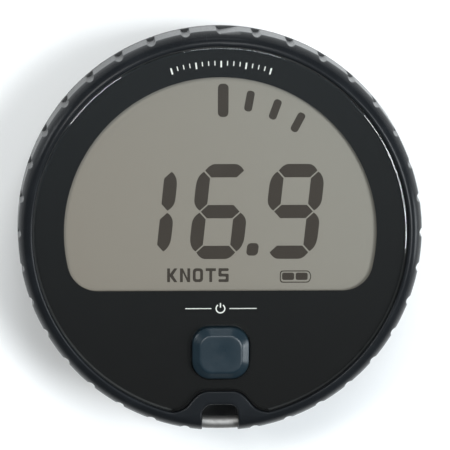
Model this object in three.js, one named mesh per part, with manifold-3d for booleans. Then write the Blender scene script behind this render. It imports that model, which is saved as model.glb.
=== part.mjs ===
// A round, battery-powered speed display for a small boat: a puck that lies on its back with the
// display facing +Z. The origin is the centre of the flat back, +X runs to the display's right
// and +Y to the display's top. Every length is in millimetres and every angle in degrees.
import * as THREE from 'three';
import { mergeVertices } from 'three/addons/utils/BufferGeometryUtils.js';
import Module from 'manifold-3d';

const wasm = await Module();
wasm.setup();

// ---------------------------------------------------------------- driving dimensions
const CASE_RADIUS = 54;                // the widest circle, at the rear housing's rim
const CASE_HEIGHT = 36;                // back face to the crest of the rubber ring
const SPLIT_Z = 21.2;                  // where the rear housing meets the front housing
const WALL = 2.4;                      // moulded wall of the housings
const STACK_GAP = 0.1;                 // air left between stacked pieces
const TOUCH_GAP = 0.05;                // air left where a piece is clamped or soldered to the next
const FIT_GAP = 0.3;                   // air left round a piece that sits in a cut-out

const LENS_RADIUS = 49.2;
const LENS_THICKNESS = 2;
const LENS_FRONT_Z = CASE_HEIGHT - 0.5;
const LENS_BACK_Z = LENS_FRONT_Z - LENS_THICKNESS;
const DECK_TOP_Z = LENS_BACK_Z - 0.5;  // the front housing's deck, under the mask and its adhesive
const DECK_BOTTOM_Z = DECK_TOP_Z - 2;
const WINDOW_RADIUS = 41.3;            // clear window in the black mask: an arc over a flat base
const WINDOW_BASE_Y = -15.4;
const WINDOW_CORNER = 8;

const BUTTON_Y = -31.7;
const BUTTON_WIDTH = 15.1;
const BUTTON_DEPTH = 13.8;
const BUTTON_CORNER = 4.3;
const BUTTON_PROUD = 2.5;
const BUTTON_TRAVEL = 0.8;

const SLOT_HALF_WIDTH = 4.8;           // lanyard slot, open to the front and to the lower rim
const SLOT_INNER_Y = -45.7;
const SLOT_CORNER = 2.6;
const SLOT_FLOOR_Z = 18.9;
const CELL_RADIUS = 7.15;              // two AA cells side by side
const CELL_LENGTH = 50.5;
const CELL_OFFSET_Y = 7.75;
const DOOR_LENGTH = 80;
const DOOR_WIDTH = 38;
const DOOR_CORNER = 12;
const DOOR_OUTER_Z = 0.5;
const DOOR_INNER_Z = 3;
const DOOR_SCREW_X = 35.2;
const BOARD_RADIUS = 36;
const BOARD_BOTTOM_Z = 25;
const BOARD_TOP_Z = BOARD_BOTTOM_Z + 1.6;

const ROUND_SEGMENTS = 60;             // facets on a full-width circle
const SEAL_SEGMENTS = 36;              // facets on a seal that nobody sees
const SMALL_SEGMENTS = 12;             // facets on screws, pins and bosses
const HEAD_SEGMENTS = 24;              // facets on the door screws' wide heads
const CELL_SEGMENTS = 28;
const WIDE_ARC_STEP = 6;               // degrees between points on an outline's wide arc
const CORNER_ARC_STEP = 18;            // and on its small corners
const WIDE_ARC_RADIUS = 20;
const BEYOND = 5;                      // how far a cutter runs past what it cuts

// ---------------------------------------------------------------- finishes
const finish = (color, roughness, metalness = 0) =>
  new THREE.MeshStandardMaterial({ color, roughness, metalness });
const SOFT_RUBBER = finish(0x2f353b, 0.55);
const SATIN_BLACK = finish(0x1d1f21, 0.5);
const MASK_BLACK = finish(0x101010, 0.6);
const CLEAR_LENS = finish(0x20221f, 0.05);
const BUTTON_BLUE = finish(0x2b3c47, 0.45);
const DISPLAY_GREY = finish(0x8f8b80, 0.4);
const SILVER_FILM = finish(0xb8b8b2, 0.35, 0.6);
const SEAL_RUBBER = finish(0x151515, 0.7);
const STEEL = finish(0x9a9a96, 0.3, 1);
const BRASS = finish(0xb08a45, 0.35, 1);
const BOARD_GREEN = finish(0x1f4a33, 0.5);
const CHIP_BLACK = finish(0x1b1b1c, 0.6);
const CERAMIC = finish(0xcbbf9e, 0.5);
const CELL_SLEEVE = finish(0x3b5c74, 0.35, 0.3);

// ---------------------------------------------------------------- outlines
const radians = (degrees) => degrees * Math.PI / 180;
const polar = (radius, degrees) =>
  [radius * Math.cos(radians(degrees)), radius * Math.sin(radians(degrees))];

function arc([x, y], radius, from, to) {
  const stepAngle = radius > WIDE_ARC_RADIUS ? WIDE_ARC_STEP : CORNER_ARC_STEP;
  const steps = Math.ceil(Math.abs(to - from) / stepAngle);
  return Array.from({ length: steps + 1 }, (_, i) => {
    const [dx, dy] = polar(radius, from + (to - from) * i / steps);
    return [x + dx, y + dy];
  });
}

/** The corners of a regular polygon as [x, y] points. */
const polygon = (radius, sides, [x, y] = [0, 0]) => Array.from({ length: sides }, (_, i) => {
  const [dx, dy] = polar(radius, 360 * i / sides);
  return [x + dx, y + dy];
});

function roundedRectangle(width, depth, corner, [x, y] = [0, 0]) {
  const dx = width / 2 - corner;
  const dy = depth / 2 - corner;
  return [
    ...arc([x + dx, y + dy], corner, 0, 90),
    ...arc([x - dx, y + dy], corner, 90, 180),
    ...arc([x - dx, y - dy], corner, 180, 270),
    ...arc([x + dx, y - dy], corner, 270, 360),
  ];
}

/** The display's outline: an arc about the puck's axis over a flat base with rounded corners. */
function displayOutline(radius, baseY, corner) {
  const cornerY = baseY + corner;
  const cornerX = Math.sqrt((radius - corner) ** 2 - cornerY ** 2);
  const meet = Math.atan2(cornerY, cornerX) * 180 / Math.PI;
  return [
    ...arc([cornerX, cornerY], corner, -90, meet),
    ...arc([0, 0], radius, meet, 180 - meet).slice(1, -1),
    ...arc([-cornerX, cornerY], corner, 180 - meet, 270),
  ];
}

// ---------------------------------------------------------------- solids
/** A closed three.js geometry as a solid that can be joined and cut, its faces turned outwards. */
function solidOf(geometry) {
  geometry.deleteAttribute('normal');
  geometry.deleteAttribute('uv');
  const merged = mergeVertices(geometry, 1e-4);
  const position = merged.attributes.position;
  const [a, b, c] = [new THREE.Vector3(), new THREE.Vector3(), new THREE.Vector3()];
  const faces = [];
  let volume = 0;
  for (let i = 0; i < merged.index.count; i += 3) {
    const [p, q, r] = [0, 1, 2].map((k) => merged.index.getX(i + k));
    if (p === q || q === r || r === p) continue;
    faces.push([p, q, r]);
    a.fromBufferAttribute(position, p);
    b.fromBufferAttribute(position, q);
    c.fromBufferAttribute(position, r);
    volume += a.dot(b.cross(c));
  }
  const outward = volume > 0 ? faces : faces.map(([p, q, r]) => [p, r, q]);
  return new wasm.Manifold(new wasm.Mesh({
    numProp: 3,
    vertProperties: new Float32Array(position.array),
    triVerts: new Uint32Array(outward.flat()),
  }));
}

/** A solid of revolution about Z from [radius, z] points that start and end on the axis. */
function revolve(profile, segments = ROUND_SEGMENTS) {
  const points = profile.map(([radius, z]) => new THREE.Vector2(radius, z));
  return solidOf(new THREE.LatheGeometry(points, segments).rotateX(Math.PI / 2));
}

/** The same for a ring whose profile never meets the axis: the outline closes on itself. */
const revolveRing = (profile, segments = ROUND_SEGMENTS) => revolve([...profile, profile[0]], segments);

function pillar(radius, bottom, top, [x, y] = [0, 0], segments = SMALL_SEGMENTS) {
  const profile = [[0, bottom], [radius, bottom], [radius, top], [0, top]];
  return revolve(profile, segments).translate([x, y, 0]);
}

const disc = (radius, bottom, top) => pillar(radius, bottom, top, [0, 0], ROUND_SEGMENTS);

function block(width, depth, bottom, top, [x, y] = [0, 0]) {
  const box = new THREE.BoxGeometry(width, depth, top - bottom);
  return solidOf(box.translate(x, y, (bottom + top) / 2));
}

/** A flat plate between two heights from a closed outline of [x, y] points. */
function plate(outline, bottom, top) {
  const shape = new THREE.Shape(outline.map(([x, y]) => new THREE.Vector2(x, y)));
  const slab = new THREE.ExtrudeGeometry(shape, { depth: top - bottom, bevelEnabled: false });
  return solidOf(slab.translate(0, 0, bottom));
}

function roundTube(path, radius, steps, sides) {
  const section = new THREE.Shape(polygon(radius, sides).map(([x, y]) => new THREE.Vector2(x, y)));
  return solidOf(new THREE.ExtrudeGeometry(section, { extrudePath: path, steps, bevelEnabled: false }));
}

const joined = (solids) => solids.reduce((whole, next) => whole.add(next));
const cut = (whole, ...cutters) => cutters.reduce((rest, cutter) => rest.subtract(cutter), whole);

// ---------------------------------------------------------------- the assembly
const display = new THREE.Group();

function addPart(name, solid, material) {
  const { numProp, vertProperties, triVerts } = solid.getMesh();
  const geometry = new THREE.BufferGeometry();
  const positions = new Float32Array(vertProperties.length / numProp * 3);
  for (let v = 0; v < positions.length / 3; v++) {
    positions.set(vertProperties.subarray(v * numProp, v * numProp + 3), v * 3);
  }
  geometry.setAttribute('position', new THREE.BufferAttribute(positions, 3));
  geometry.setIndex(new THREE.BufferAttribute(new Uint32Array(triVerts), 1));
  geometry.computeVertexNormals();
  const mesh = new THREE.Mesh(geometry, material);
  mesh.name = name;
  display.add(mesh);
}

// ---------------------------------------------------------------- lanyard slot and bar
const FAR_Y = -CASE_RADIUS - BEYOND;
const slotCornerX = SLOT_HALF_WIDTH - SLOT_CORNER;
const slotCornerY = SLOT_INNER_Y - SLOT_CORNER;
const slotCutter = plate([
  [SLOT_HALF_WIDTH, FAR_Y],
  ...arc([slotCornerX, slotCornerY], SLOT_CORNER, 0, 90),
  ...arc([-slotCornerX, slotCornerY], SLOT_CORNER, 90, 180),
  [-SLOT_HALF_WIDTH, FAR_Y],
], SLOT_FLOOR_Z, CASE_HEIGHT + BEYOND);

const SLOT_WALL = 3.2;                 // thickness of the walls that the housings put round the slot
const slotBlockDepth = 8;
function slotBlock(bottom, top, radius) {
  const centreY = SLOT_INNER_Y - slotBlockDepth / 2 + WALL;
  return block(2 * (SLOT_HALF_WIDTH + SLOT_WALL), slotBlockDepth, bottom, top, [0, centreY])
    .intersect(disc(radius, bottom, top));
}

const BAR_RADIUS = 1.65;
const BAR_ARC_RADIUS = 51.6;
const BAR_HALF_LENGTH = 5.6;
const BAR_Z = 30.3;
const BAR_STEPS = 8;
const BAR_SIDES = 12;
/** The bar follows the rim's curve; a clearance makes it the cutter for its own sockets. */
function lanyardBar(clearance) {
  const sweep = Math.asin(BAR_HALF_LENGTH / BAR_ARC_RADIUS) + clearance / BAR_ARC_RADIUS;
  const path = new THREE.CatmullRomCurve3(Array.from({ length: BAR_STEPS + 1 }, (_, i) => {
    const turn = sweep * (2 * i / BAR_STEPS - 1);
    return new THREE.Vector3(BAR_ARC_RADIUS * Math.sin(turn), -BAR_ARC_RADIUS * Math.cos(turn), BAR_Z);
  }));
  return roundTube(path, BAR_RADIUS + clearance, BAR_STEPS, BAR_SIDES);
}
addPart('lanyard_bar', lanyardBar(0), STEEL);

// ---------------------------------------------------------------- rubber ring
const SHELL_RADIUS = 50.2;             // outer wall of the front housing, under the ring
const RING_BORE = SHELL_RADIUS + FIT_GAP;
const RING_LIP_RADIUS = LENS_RADIUS + FIT_GAP;
const RING_LIP_Z = DECK_TOP_Z + STACK_GAP;
const RING_BOTTOM_Z = SPLIT_Z + STACK_GAP;
const RING_CREST_RADIUS = RING_LIP_RADIUS + 0.7;
const RING_EDGE_RADIUS = 53.42;        // crisp edge between the ring's shoulder and its side
const RING_EDGE_Z = 32.2;
const SHOULDER_PULL = [52.3, 35.6];    // the point that the shoulder's curve bends towards
const SHOULDER_STEPS = 4;
const LIP_ROUND = [[0.2, 0.15], [0, 0.6]];   // the lip's rounding: out from its bore, down from its crest
const TONGUE_PROUD = 0.2;              // how far the tongue stands above the lens
const FLUTE_COUNT = 36;                // grip flutes
const FLUTE_RADIUS = 1.4;
const FLUTE_SIDES = 6;
const FLUTE_CENTRE = RING_EDGE_RADIUS + 0.65;

/** The tongue that the ring sends up into the lens: a flat top, sloping sides and flared feet. */
function tongueOutline(inset) {
  const half = new THREE.Path();
  half.moveTo(0, -41.8);
  half.lineTo(3.2, -41.8);
  half.quadraticCurveTo(5.6, -41.8, 7.4, -43.9);
  half.lineTo(9, -45.8);
  half.quadraticCurveTo(10.3, -47.2, 12.9, -47.45);
  const right = half.getPoints(6).slice(1).map(({ x, y }) => [x - inset, y - inset]);
  const left = right.map(([x, y]) => [-x, y]).reverse();
  return [...left, ...right, [right.at(-1)[0], FAR_Y], [left[0][0], FAR_Y]];
}

/** The curve from the crisp edge in to the lip's crest, without its first point. */
function shoulder() {
  const curve = new THREE.QuadraticBezierCurve(
    new THREE.Vector2(RING_EDGE_RADIUS, RING_EDGE_Z),
    new THREE.Vector2(...SHOULDER_PULL),
    new THREE.Vector2(RING_CREST_RADIUS, CASE_HEIGHT));
  return curve.getPoints(SHOULDER_STEPS).slice(1).map(({ x, y }) => [x, y]);
}

const WALL_DRAFT = (CASE_RADIUS - RING_EDGE_RADIUS) / (RING_EDGE_Z - RING_BOTTOM_Z);

/** Moves a point of an upright flute out as it goes down, so that the flute keeps an even depth. */
function leanWithWall(point) {
  const lean = 1 + WALL_DRAFT * (RING_EDGE_Z - point[2]) / FLUTE_CENTRE;
  point[0] *= lean;
  point[1] *= lean;
}

function bumperRing() {
  const body = revolveRing([
    [RING_BORE, RING_BOTTOM_Z],
    [CASE_RADIUS, RING_BOTTOM_Z],
    [RING_EDGE_RADIUS, RING_EDGE_Z],
    ...shoulder(),
    ...LIP_ROUND.map(([out, down]) => [RING_LIP_RADIUS + out, CASE_HEIGHT - down]),
    [RING_LIP_RADIUS, RING_LIP_Z],
    [RING_BORE, RING_LIP_Z],
  ]);
  const tongue = plate(tongueOutline(FIT_GAP), RING_LIP_Z, LENS_FRONT_Z + TONGUE_PROUD)
    .intersect(disc(RING_BORE + 1, RING_LIP_Z, CASE_HEIGHT));
  const flutes = Array.from({ length: FLUTE_COUNT }, (_, i) => {
    const place = polar(FLUTE_CENTRE, 90 + i * 360 / FLUTE_COUNT);
    return pillar(FLUTE_RADIUS, RING_BOTTOM_Z - BEYOND, CASE_HEIGHT, place, FLUTE_SIDES).warp(leanWithWall);
  });
  return cut(body.add(tongue), joined(flutes), slotCutter, lanyardBar(STACK_GAP));
}
addPart('bumper_ring', bumperRing(), SOFT_RUBBER);

// ---------------------------------------------------------------- screws shared by the housings
const CASE_SCREW_ANGLES = [40, 90, 140, 220, 270, 320];
const CASE_SCREW_CIRCLE = 39.5;
const CASE_SCREW_RADIUS = 1.2;
const CASE_SCREW_HOLE = 1.35;
const CASE_HEAD_RADIUS = 2.3;
const CASE_HEAD_HEIGHT = 2.2;
const CASE_HEAD_SEAT_Z = 5;
const BOSS_RADIUS = 2.8;
const BOSS_TOP_Z = 28.8;
const BOARD_SCREW_ANGLES = [42, 138, 204, 336];
const BOARD_SCREW_CIRCLE = 34.5;
const caseScrewPlaces = CASE_SCREW_ANGLES.map((angle) => polar(CASE_SCREW_CIRCLE, angle));
const boardScrewPlaces = BOARD_SCREW_ANGLES.map((angle) => polar(BOARD_SCREW_CIRCLE, angle));
const pillars = (places, radius, bottom, top) => places.map((place) => pillar(radius, bottom, top, place));

// ---------------------------------------------------------------- front housing
const SHELL_BOTTOM_Z = SPLIT_Z + STACK_GAP;
const SHELL_BORE = 47;
const FLANGE_BORE = 42.6;              // the flange that presses on the case seal
const FLANGE_TOP_Z = SHELL_BOTTOM_Z + 1.5;
const WINDOW_MARGIN = 0.6;             // how far the housing's window stays outside the mask's
const LCD_POCKET = displayOutline(43.1, -20.2, 3);
const LCD_POCKET_TOP_Z = DECK_TOP_Z - 0.9;
const BUTTON_CLEARANCE = 0.35;

const buttonOutline = (grow) => roundedRectangle(
  BUTTON_WIDTH + 2 * grow, BUTTON_DEPTH + 2 * grow, BUTTON_CORNER + grow, [0, BUTTON_Y]);
const buttonCutter = plate(buttonOutline(BUTTON_CLEARANCE), BOSS_TOP_Z, CASE_HEIGHT + BEYOND);

function frontShell() {
  const cup = revolve([
    [0, DECK_BOTTOM_Z], [SHELL_BORE, DECK_BOTTOM_Z], [SHELL_BORE, FLANGE_TOP_Z],
    [FLANGE_BORE, FLANGE_TOP_Z], [FLANGE_BORE, SHELL_BOTTOM_Z],
    [SHELL_RADIUS, SHELL_BOTTOM_Z], [SHELL_RADIUS, DECK_TOP_Z], [0, DECK_TOP_Z],
  ]);
  const bosses = pillars(caseScrewPlaces, BOSS_RADIUS, SHELL_BOTTOM_Z, BOSS_TOP_Z);
  const ribLength = SHELL_BORE - CASE_SCREW_CIRCLE + 1;
  const rib = block(ribLength, WALL, SHELL_BOTTOM_Z, BOSS_TOP_Z, [CASE_SCREW_CIRCLE + ribLength / 2, 0]);
  const ribs = CASE_SCREW_ANGLES.map((angle) => rib.rotate([0, 0, angle]));
  const slotWalls = slotBlock(SHELL_BOTTOM_Z, DECK_TOP_Z, SHELL_RADIUS);
  const windowEdge = displayOutline(
    WINDOW_RADIUS + WINDOW_MARGIN, WINDOW_BASE_Y - WINDOW_MARGIN, WINDOW_CORNER);
  return cut(
    joined([cup, ...bosses, ...ribs, slotWalls]),
    plate(windowEdge, BOSS_TOP_Z, CASE_HEIGHT),
    plate(LCD_POCKET, BOSS_TOP_Z + STACK_GAP, LCD_POCKET_TOP_Z),
    ...pillars(caseScrewPlaces, CASE_SCREW_HOLE, SHELL_BOTTOM_Z - BEYOND, BOSS_TOP_Z - 1),
    buttonCutter, slotCutter, lanyardBar(STACK_GAP));
}
addPart('front_shell', frontShell(), SATIN_BLACK);

// ---------------------------------------------------------------- lens and printed mask
const LENS_BEVEL = 0.45;
const MASK_TOP_Z = LENS_BACK_Z - STACK_GAP;
const MASK_THICKNESS = 0.25;
const MASK_RADIUS = LENS_RADIUS - 0.2;
const tongueNotch = plate(tongueOutline(0), DECK_TOP_Z, CASE_HEIGHT + BEYOND);

const lensDisc = revolve([
  [0, LENS_BACK_Z], [LENS_RADIUS, LENS_BACK_Z], [LENS_RADIUS, LENS_FRONT_Z - LENS_BEVEL],
  [LENS_RADIUS - LENS_BEVEL, LENS_FRONT_Z], [0, LENS_FRONT_Z],
]);
addPart('front_lens', cut(lensDisc, tongueNotch, buttonCutter), CLEAR_LENS);

const maskDisc = disc(MASK_RADIUS, MASK_TOP_Z - MASK_THICKNESS, MASK_TOP_Z);
const maskWindow = plate(
  displayOutline(WINDOW_RADIUS, WINDOW_BASE_Y, WINDOW_CORNER), DECK_TOP_Z, CASE_HEIGHT);
addPart('window_mask', cut(maskDisc, maskWindow, tongueNotch, buttonCutter), MASK_BLACK);

// ---------------------------------------------------------------- display stack
const DISPLAY_CORNER = 3;
const FRAME_TOP_Z = 29.2;
const LCD_BOTTOM_Z = 29.6;
const lcdOutline = displayOutline(42.8, -19.9, DISPLAY_CORNER);
const reflectorOutline = displayOutline(41.8, -16.6, DISPLAY_CORNER);
const ZEBRA = { length: 56, width: 2, y: -18.3 };
const FRAME_RADIUS = BOARD_RADIUS + 0.2;
const FRAME_BASE_Y = -21.5;
const FRAME_RIM = 3.4;                 // width of the frame round the light gap
const BOARD_SCREW_RADIUS = 0.85;
const BOARD_SCREW_HOLE = 0.95;
const BOARD_SCREW_TOP_Z = FRAME_TOP_Z - 0.6;

addPart('lcd_panel', plate(lcdOutline, LCD_BOTTOM_Z, LCD_POCKET_TOP_Z - STACK_GAP), DISPLAY_GREY);
addPart('lcd_reflector',
  plate(reflectorOutline, FRAME_TOP_Z + TOUCH_GAP, LCD_BOTTOM_Z - TOUCH_GAP), SILVER_FILM);
addPart('zebra_strip',
  block(ZEBRA.length, ZEBRA.width, BOARD_TOP_Z + TOUCH_GAP, LCD_BOTTOM_Z - TOUCH_GAP, [0, ZEBRA.y]),
  SEAL_RUBBER);

function lcdFrame() {
  const body = plate(
    displayOutline(FRAME_RADIUS, FRAME_BASE_Y, DISPLAY_CORNER), BOARD_TOP_Z + STACK_GAP, FRAME_TOP_Z);
  const lightGap = plate(
    displayOutline(FRAME_RADIUS - FRAME_RIM, WINDOW_BASE_Y, DISPLAY_CORNER), BOARD_BOTTOM_Z, LCD_BOTTOM_Z);
  const zebraSlot = block(
    ZEBRA.length + 2 * FIT_GAP, ZEBRA.width + 2 * FIT_GAP, BOARD_BOTTOM_Z, LCD_BOTTOM_Z, [0, ZEBRA.y]);
  const screwHoles = pillars(boardScrewPlaces, BOARD_SCREW_HOLE, BOARD_BOTTOM_Z, FRAME_TOP_Z - FIT_GAP);
  return cut(body, lightGap, zebraSlot, ...screwHoles);
}
addPart('lcd_frame', lcdFrame(), SATIN_BLACK);

// ---------------------------------------------------------------- mode button
const CAP_TOP_Z = LENS_FRONT_Z + BUTTON_PROUD;
const CAP_LIP_TOP_Z = DECK_BOTTOM_Z - STACK_GAP;   // the lip under the deck keeps the cap in
const CAP_LIP_HEIGHT = 0.8;
const CAP_LIP_REACH = 1;
const CAP_WALL = 2;
const CAP_CROWN = [                    // how far the cap has drawn in at each height
  [0, CAP_LIP_TOP_Z - 0.2], [0, LENS_FRONT_Z + 0.3], [0.5, CAP_TOP_Z - 0.9],
  [1, CAP_TOP_Z - 0.2], [1.6, CAP_TOP_Z],
];
const STEM_RADIUS = 2.4;
const STEM_BOTTOM_Z = CAP_LIP_TOP_Z + 1.1;
const O_RING_Z = DECK_TOP_Z - 1;
const O_RING_HALF_HEIGHT = 0.45;
const O_RING_REACH = 0.2;              // the seal stands this far out of the cap's side
const GROOVE_DEPTH = 0.85;
const SWITCH_TOP_Z = 29.2;
const SWITCH_SIZE = 6;
const SWITCH_STEM = { radius: 1.6, height: 1 };
const PLUNGER_RADIUS = 1.8;
const PLUNGER_BOTTOM_Z = SWITCH_TOP_Z + BUTTON_TRAVEL + STACK_GAP;

/** One closed solid through a stack of outlines of equal point counts: [outline, z] layers. */
function loft(layers) {
  const count = layers[0][0].length;
  const positions = layers.flatMap(([outline, z]) => outline.flatMap(([x, y]) => [x, y, z]));
  const index = [];
  for (let k = 0; k + 1 < layers.length; k++) {
    for (let i = 0; i < count; i++) {
      const [p, q] = [k * count + i, k * count + (i + 1) % count];
      index.push(p, q, q + count, p, q + count, p + count);
    }
  }
  const top = (layers.length - 1) * count;
  for (let i = 1; i + 1 < count; i++) {
    index.push(0, i + 1, i);
    index.push(top, top + i, top + i + 1);
  }
  const geometry = new THREE.BufferGeometry();
  geometry.setAttribute('position', new THREE.BufferAttribute(new Float32Array(positions), 3));
  geometry.setIndex(index);
  return solidOf(geometry);
}

const bandRoundCap = (inset, outset, halfHeight) => cut(
  plate(buttonOutline(outset), O_RING_Z - halfHeight, O_RING_Z + halfHeight),
  plate(buttonOutline(-inset), O_RING_Z - 1, O_RING_Z + 1));

function buttonCap() {
  const crown = loft(CAP_CROWN.map(([inset, z]) => [buttonOutline(-inset), z]));
  const lip = plate(buttonOutline(CAP_LIP_REACH), CAP_LIP_TOP_Z - CAP_LIP_HEIGHT, CAP_LIP_TOP_Z);
  const hollow = plate(buttonOutline(-CAP_WALL), CAP_LIP_TOP_Z - BEYOND, LENS_FRONT_Z);
  const groove = bandRoundCap(GROOVE_DEPTH, BEYOND, O_RING_HALF_HEIGHT + STACK_GAP);
  const stem = pillar(STEM_RADIUS, STEM_BOTTOM_Z, LENS_FRONT_Z + 0.5, [0, BUTTON_Y]);
  return cut(crown.add(lip), hollow, groove).add(stem);
}
addPart('button_cap', buttonCap(), BUTTON_BLUE);
addPart('button_o_ring',
  bandRoundCap(GROOVE_DEPTH - STACK_GAP, O_RING_REACH, O_RING_HALF_HEIGHT), SEAL_RUBBER);
addPart('switch_plunger',
  pillar(PLUNGER_RADIUS, PLUNGER_BOTTOM_Z, STEM_BOTTOM_Z - TOUCH_GAP, [0, BUTTON_Y]), SEAL_RUBBER);

const switchBodyTop = SWITCH_TOP_Z - SWITCH_STEM.height;
const switchBody = block(SWITCH_SIZE, SWITCH_SIZE, BOARD_TOP_Z + TOUCH_GAP, switchBodyTop, [0, BUTTON_Y]);
const switchStem = pillar(SWITCH_STEM.radius, switchBodyTop - 0.5, SWITCH_TOP_Z, [0, BUTTON_Y]);
addPart('tact_switch', switchBody.add(switchStem), CHIP_BLACK);

// ---------------------------------------------------------------- circuit board
const UNDER_BOARD_Z = BOARD_BOTTOM_Z - TOUCH_GAP;
const CHIPS = [
  { name: 'gps_antenna', size: [18, 18, 4], place: [0, 24.5], material: CERAMIC },
  { name: 'gps_module', size: [12, 12, 2.2], place: [-17.5, 12], material: STEEL },
  { name: 'processor_chip', size: [10, 10, 1.4], place: [17, 8], material: CHIP_BLACK },
  { name: 'flash_chip', size: [6, 5, 1.2], place: [18, -9], material: CHIP_BLACK },
];
const COIL = { radius: 3.2, height: 2.8, place: [-17, -9] };
const BOARD_SCREW_HEAD = { radius: 1.7, height: 1.2 };
const BOARD_HOLE_RADIUS = 1;

const boardHoles = pillars(boardScrewPlaces, BOARD_HOLE_RADIUS, BOARD_BOTTOM_Z - 1, BOARD_TOP_Z + 1);
addPart('main_board', cut(disc(BOARD_RADIUS, BOARD_BOTTOM_Z, BOARD_TOP_Z), ...boardHoles), BOARD_GREEN);
for (const { name, size: [width, depth, height], place, material } of CHIPS) {
  addPart(name, block(width, depth, UNDER_BOARD_Z - height, UNDER_BOARD_Z, place), material);
}
const coil = pillar(COIL.radius, UNDER_BOARD_Z - COIL.height, UNDER_BOARD_Z, COIL.place);
addPart('supply_coil', coil, CHIP_BLACK);

boardScrewPlaces.forEach((place, i) => {
  const { radius, height } = BOARD_SCREW_HEAD;
  const head = pillar(radius, UNDER_BOARD_Z - height, UNDER_BOARD_Z, place);
  const shank = pillar(BOARD_SCREW_RADIUS, UNDER_BOARD_Z - 1, BOARD_SCREW_TOP_Z, place);
  addPart(`board_screw_${i + 1}`, head.add(shank), STEEL);
});

// ---------------------------------------------------------------- rear housing
const BACK_FLAT_RADIUS = 43.2;         // the flat the puck lies on
const BACK_PROFILE = [                 // the outside, from the flat up the flank to the rim
  [0, 0], [BACK_FLAT_RADIUS, 0], [BACK_FLAT_RADIUS + 1.2, 0.5], [BACK_FLAT_RADIUS + 1.8, 1.4],
  [CASE_RADIUS - 0.7, 16.6], [CASE_RADIUS, 18.6], [CASE_RADIUS, SPLIT_Z],
];
const RIM_BORE = 42.4;
const RIM_UNDERSIDE_Z = 18.4;
const FLANK_WALL = 3.4;
const SEAL = { circle: 44.3, radius: 0.62, sides: 5, z: SPLIT_Z - 0.6 };
const SEAL_GROOVE = { halfWidth: 0.9, depth: 1.3 };
const SEAT_Z = DOOR_INNER_Z + 0.4;     // the face that the battery door closes against
const SEAT_MARGIN = 2.2;               // plastic round and above the door's recess
const TUB = { length: 59.2, width: 31.6, ceiling: 19.1, wall: 1.5 };
const doorScrewPlaces = [[-DOOR_SCREW_X, 0], [DOOR_SCREW_X, 0]];
const INSERT_RADIUS = 2.6;
const INSERT_HEIGHT = 5;
const INSERT_BOTTOM_Z = SEAT_Z + 0.9;
const INSERT_TOP_Z = INSERT_BOTTOM_Z + INSERT_HEIGHT;
const INSERT_BOSS_RADIUS = 4.2;
const CLIP_POCKET_RADIUS = 3.3;
const PIN_RADIUS = 0.6;
const CONTACT_THICKNESS = 0.5;
const CONTACT_BACK_X = TUB.length / 2 - TOUCH_GAP;
const pinX = CONTACT_BACK_X - CONTACT_THICKNESS - PIN_RADIUS - STACK_GAP;
const pinY = CELL_OFFSET_Y + 5;        // the contact pins stand clear of the cells
const pinPlaces = { positive: [pinX, pinY], negative: [pinX, -pinY] };

const sealGroove = revolveRing([
  [SEAL.circle - SEAL_GROOVE.halfWidth, SPLIT_Z - SEAL_GROOVE.depth],
  [SEAL.circle + SEAL_GROOVE.halfWidth, SPLIT_Z - SEAL_GROOVE.depth],
  [SEAL.circle + SEAL_GROOVE.halfWidth, SPLIT_Z + 1],
  [SEAL.circle - SEAL_GROOVE.halfWidth, SPLIT_Z + 1],
]);

function backShell() {
  const cup = revolve([
    ...BACK_PROFILE, [RIM_BORE, SPLIT_Z], [RIM_BORE, RIM_UNDERSIDE_Z],
    [CASE_RADIUS - FLANK_WALL, RIM_UNDERSIDE_Z - 1.2], [BACK_FLAT_RADIUS - 0.6, WALL], [0, WALL],
  ]);
  const outside = revolve([...BACK_PROFILE, [0, SPLIT_Z]]);
  const seat = roundedRectangle(
    DOOR_LENGTH + 2 * SEAT_MARGIN, DOOR_WIDTH + 2 * SEAT_MARGIN, DOOR_CORNER + SEAT_MARGIN);
  const body = joined([
    cup,
    slotBlock(SLOT_FLOOR_Z - 2 * WALL, SPLIT_Z, CASE_RADIUS - 1).intersect(outside),
    plate(seat, 1, SEAT_Z + SEAT_MARGIN),
    block(TUB.length + 2 * TUB.wall, TUB.width + 2 * TUB.wall, SEAT_Z, TUB.ceiling + TUB.wall),
    ...pillars(caseScrewPlaces, BOSS_RADIUS + FIT_GAP, 1, SPLIT_Z),
    ...pillars(doorScrewPlaces, INSERT_BOSS_RADIUS, SEAT_Z, INSERT_TOP_Z + 1),
  ]);
  return cut(
    body,
    slotCutter,
    sealGroove,
    plate(roundedRectangle(DOOR_LENGTH, DOOR_WIDTH, DOOR_CORNER), -BEYOND, SEAT_Z),
    block(TUB.length, TUB.width, -BEYOND, TUB.ceiling),
    ...pillars(caseScrewPlaces, CASE_HEAD_RADIUS + 0.2, -BEYOND, CASE_HEAD_SEAT_Z),
    ...pillars(caseScrewPlaces, CASE_SCREW_HOLE, 0, SPLIT_Z + BEYOND),
    ...pillars(doorScrewPlaces, CLIP_POCKET_RADIUS, 0, INSERT_BOTTOM_Z - STACK_GAP),
    ...pillars(doorScrewPlaces, INSERT_RADIUS + TOUCH_GAP, 0, INSERT_TOP_Z + STACK_GAP),
    ...pillars(Object.values(pinPlaces), PIN_RADIUS + 0.15, TUB.ceiling - 1, BOARD_BOTTOM_Z),
  );
}
addPart('back_shell', backShell(), SATIN_BLACK);
addPart('case_seal',
  revolveRing(polygon(SEAL.radius, SEAL.sides, [SEAL.circle, SEAL.z]), SEAL_SEGMENTS), SEAL_RUBBER);

caseScrewPlaces.forEach((place, i) => {
  const headTop = CASE_HEAD_SEAT_Z - TOUCH_GAP;
  const head = pillar(CASE_HEAD_RADIUS, headTop - CASE_HEAD_HEIGHT, headTop, place);
  const shank = pillar(CASE_SCREW_RADIUS, headTop - 1, BOSS_TOP_Z - 1.6, place);
  addPart(`case_screw_${i + 1}`, head.add(shank), STEEL);
});

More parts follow.
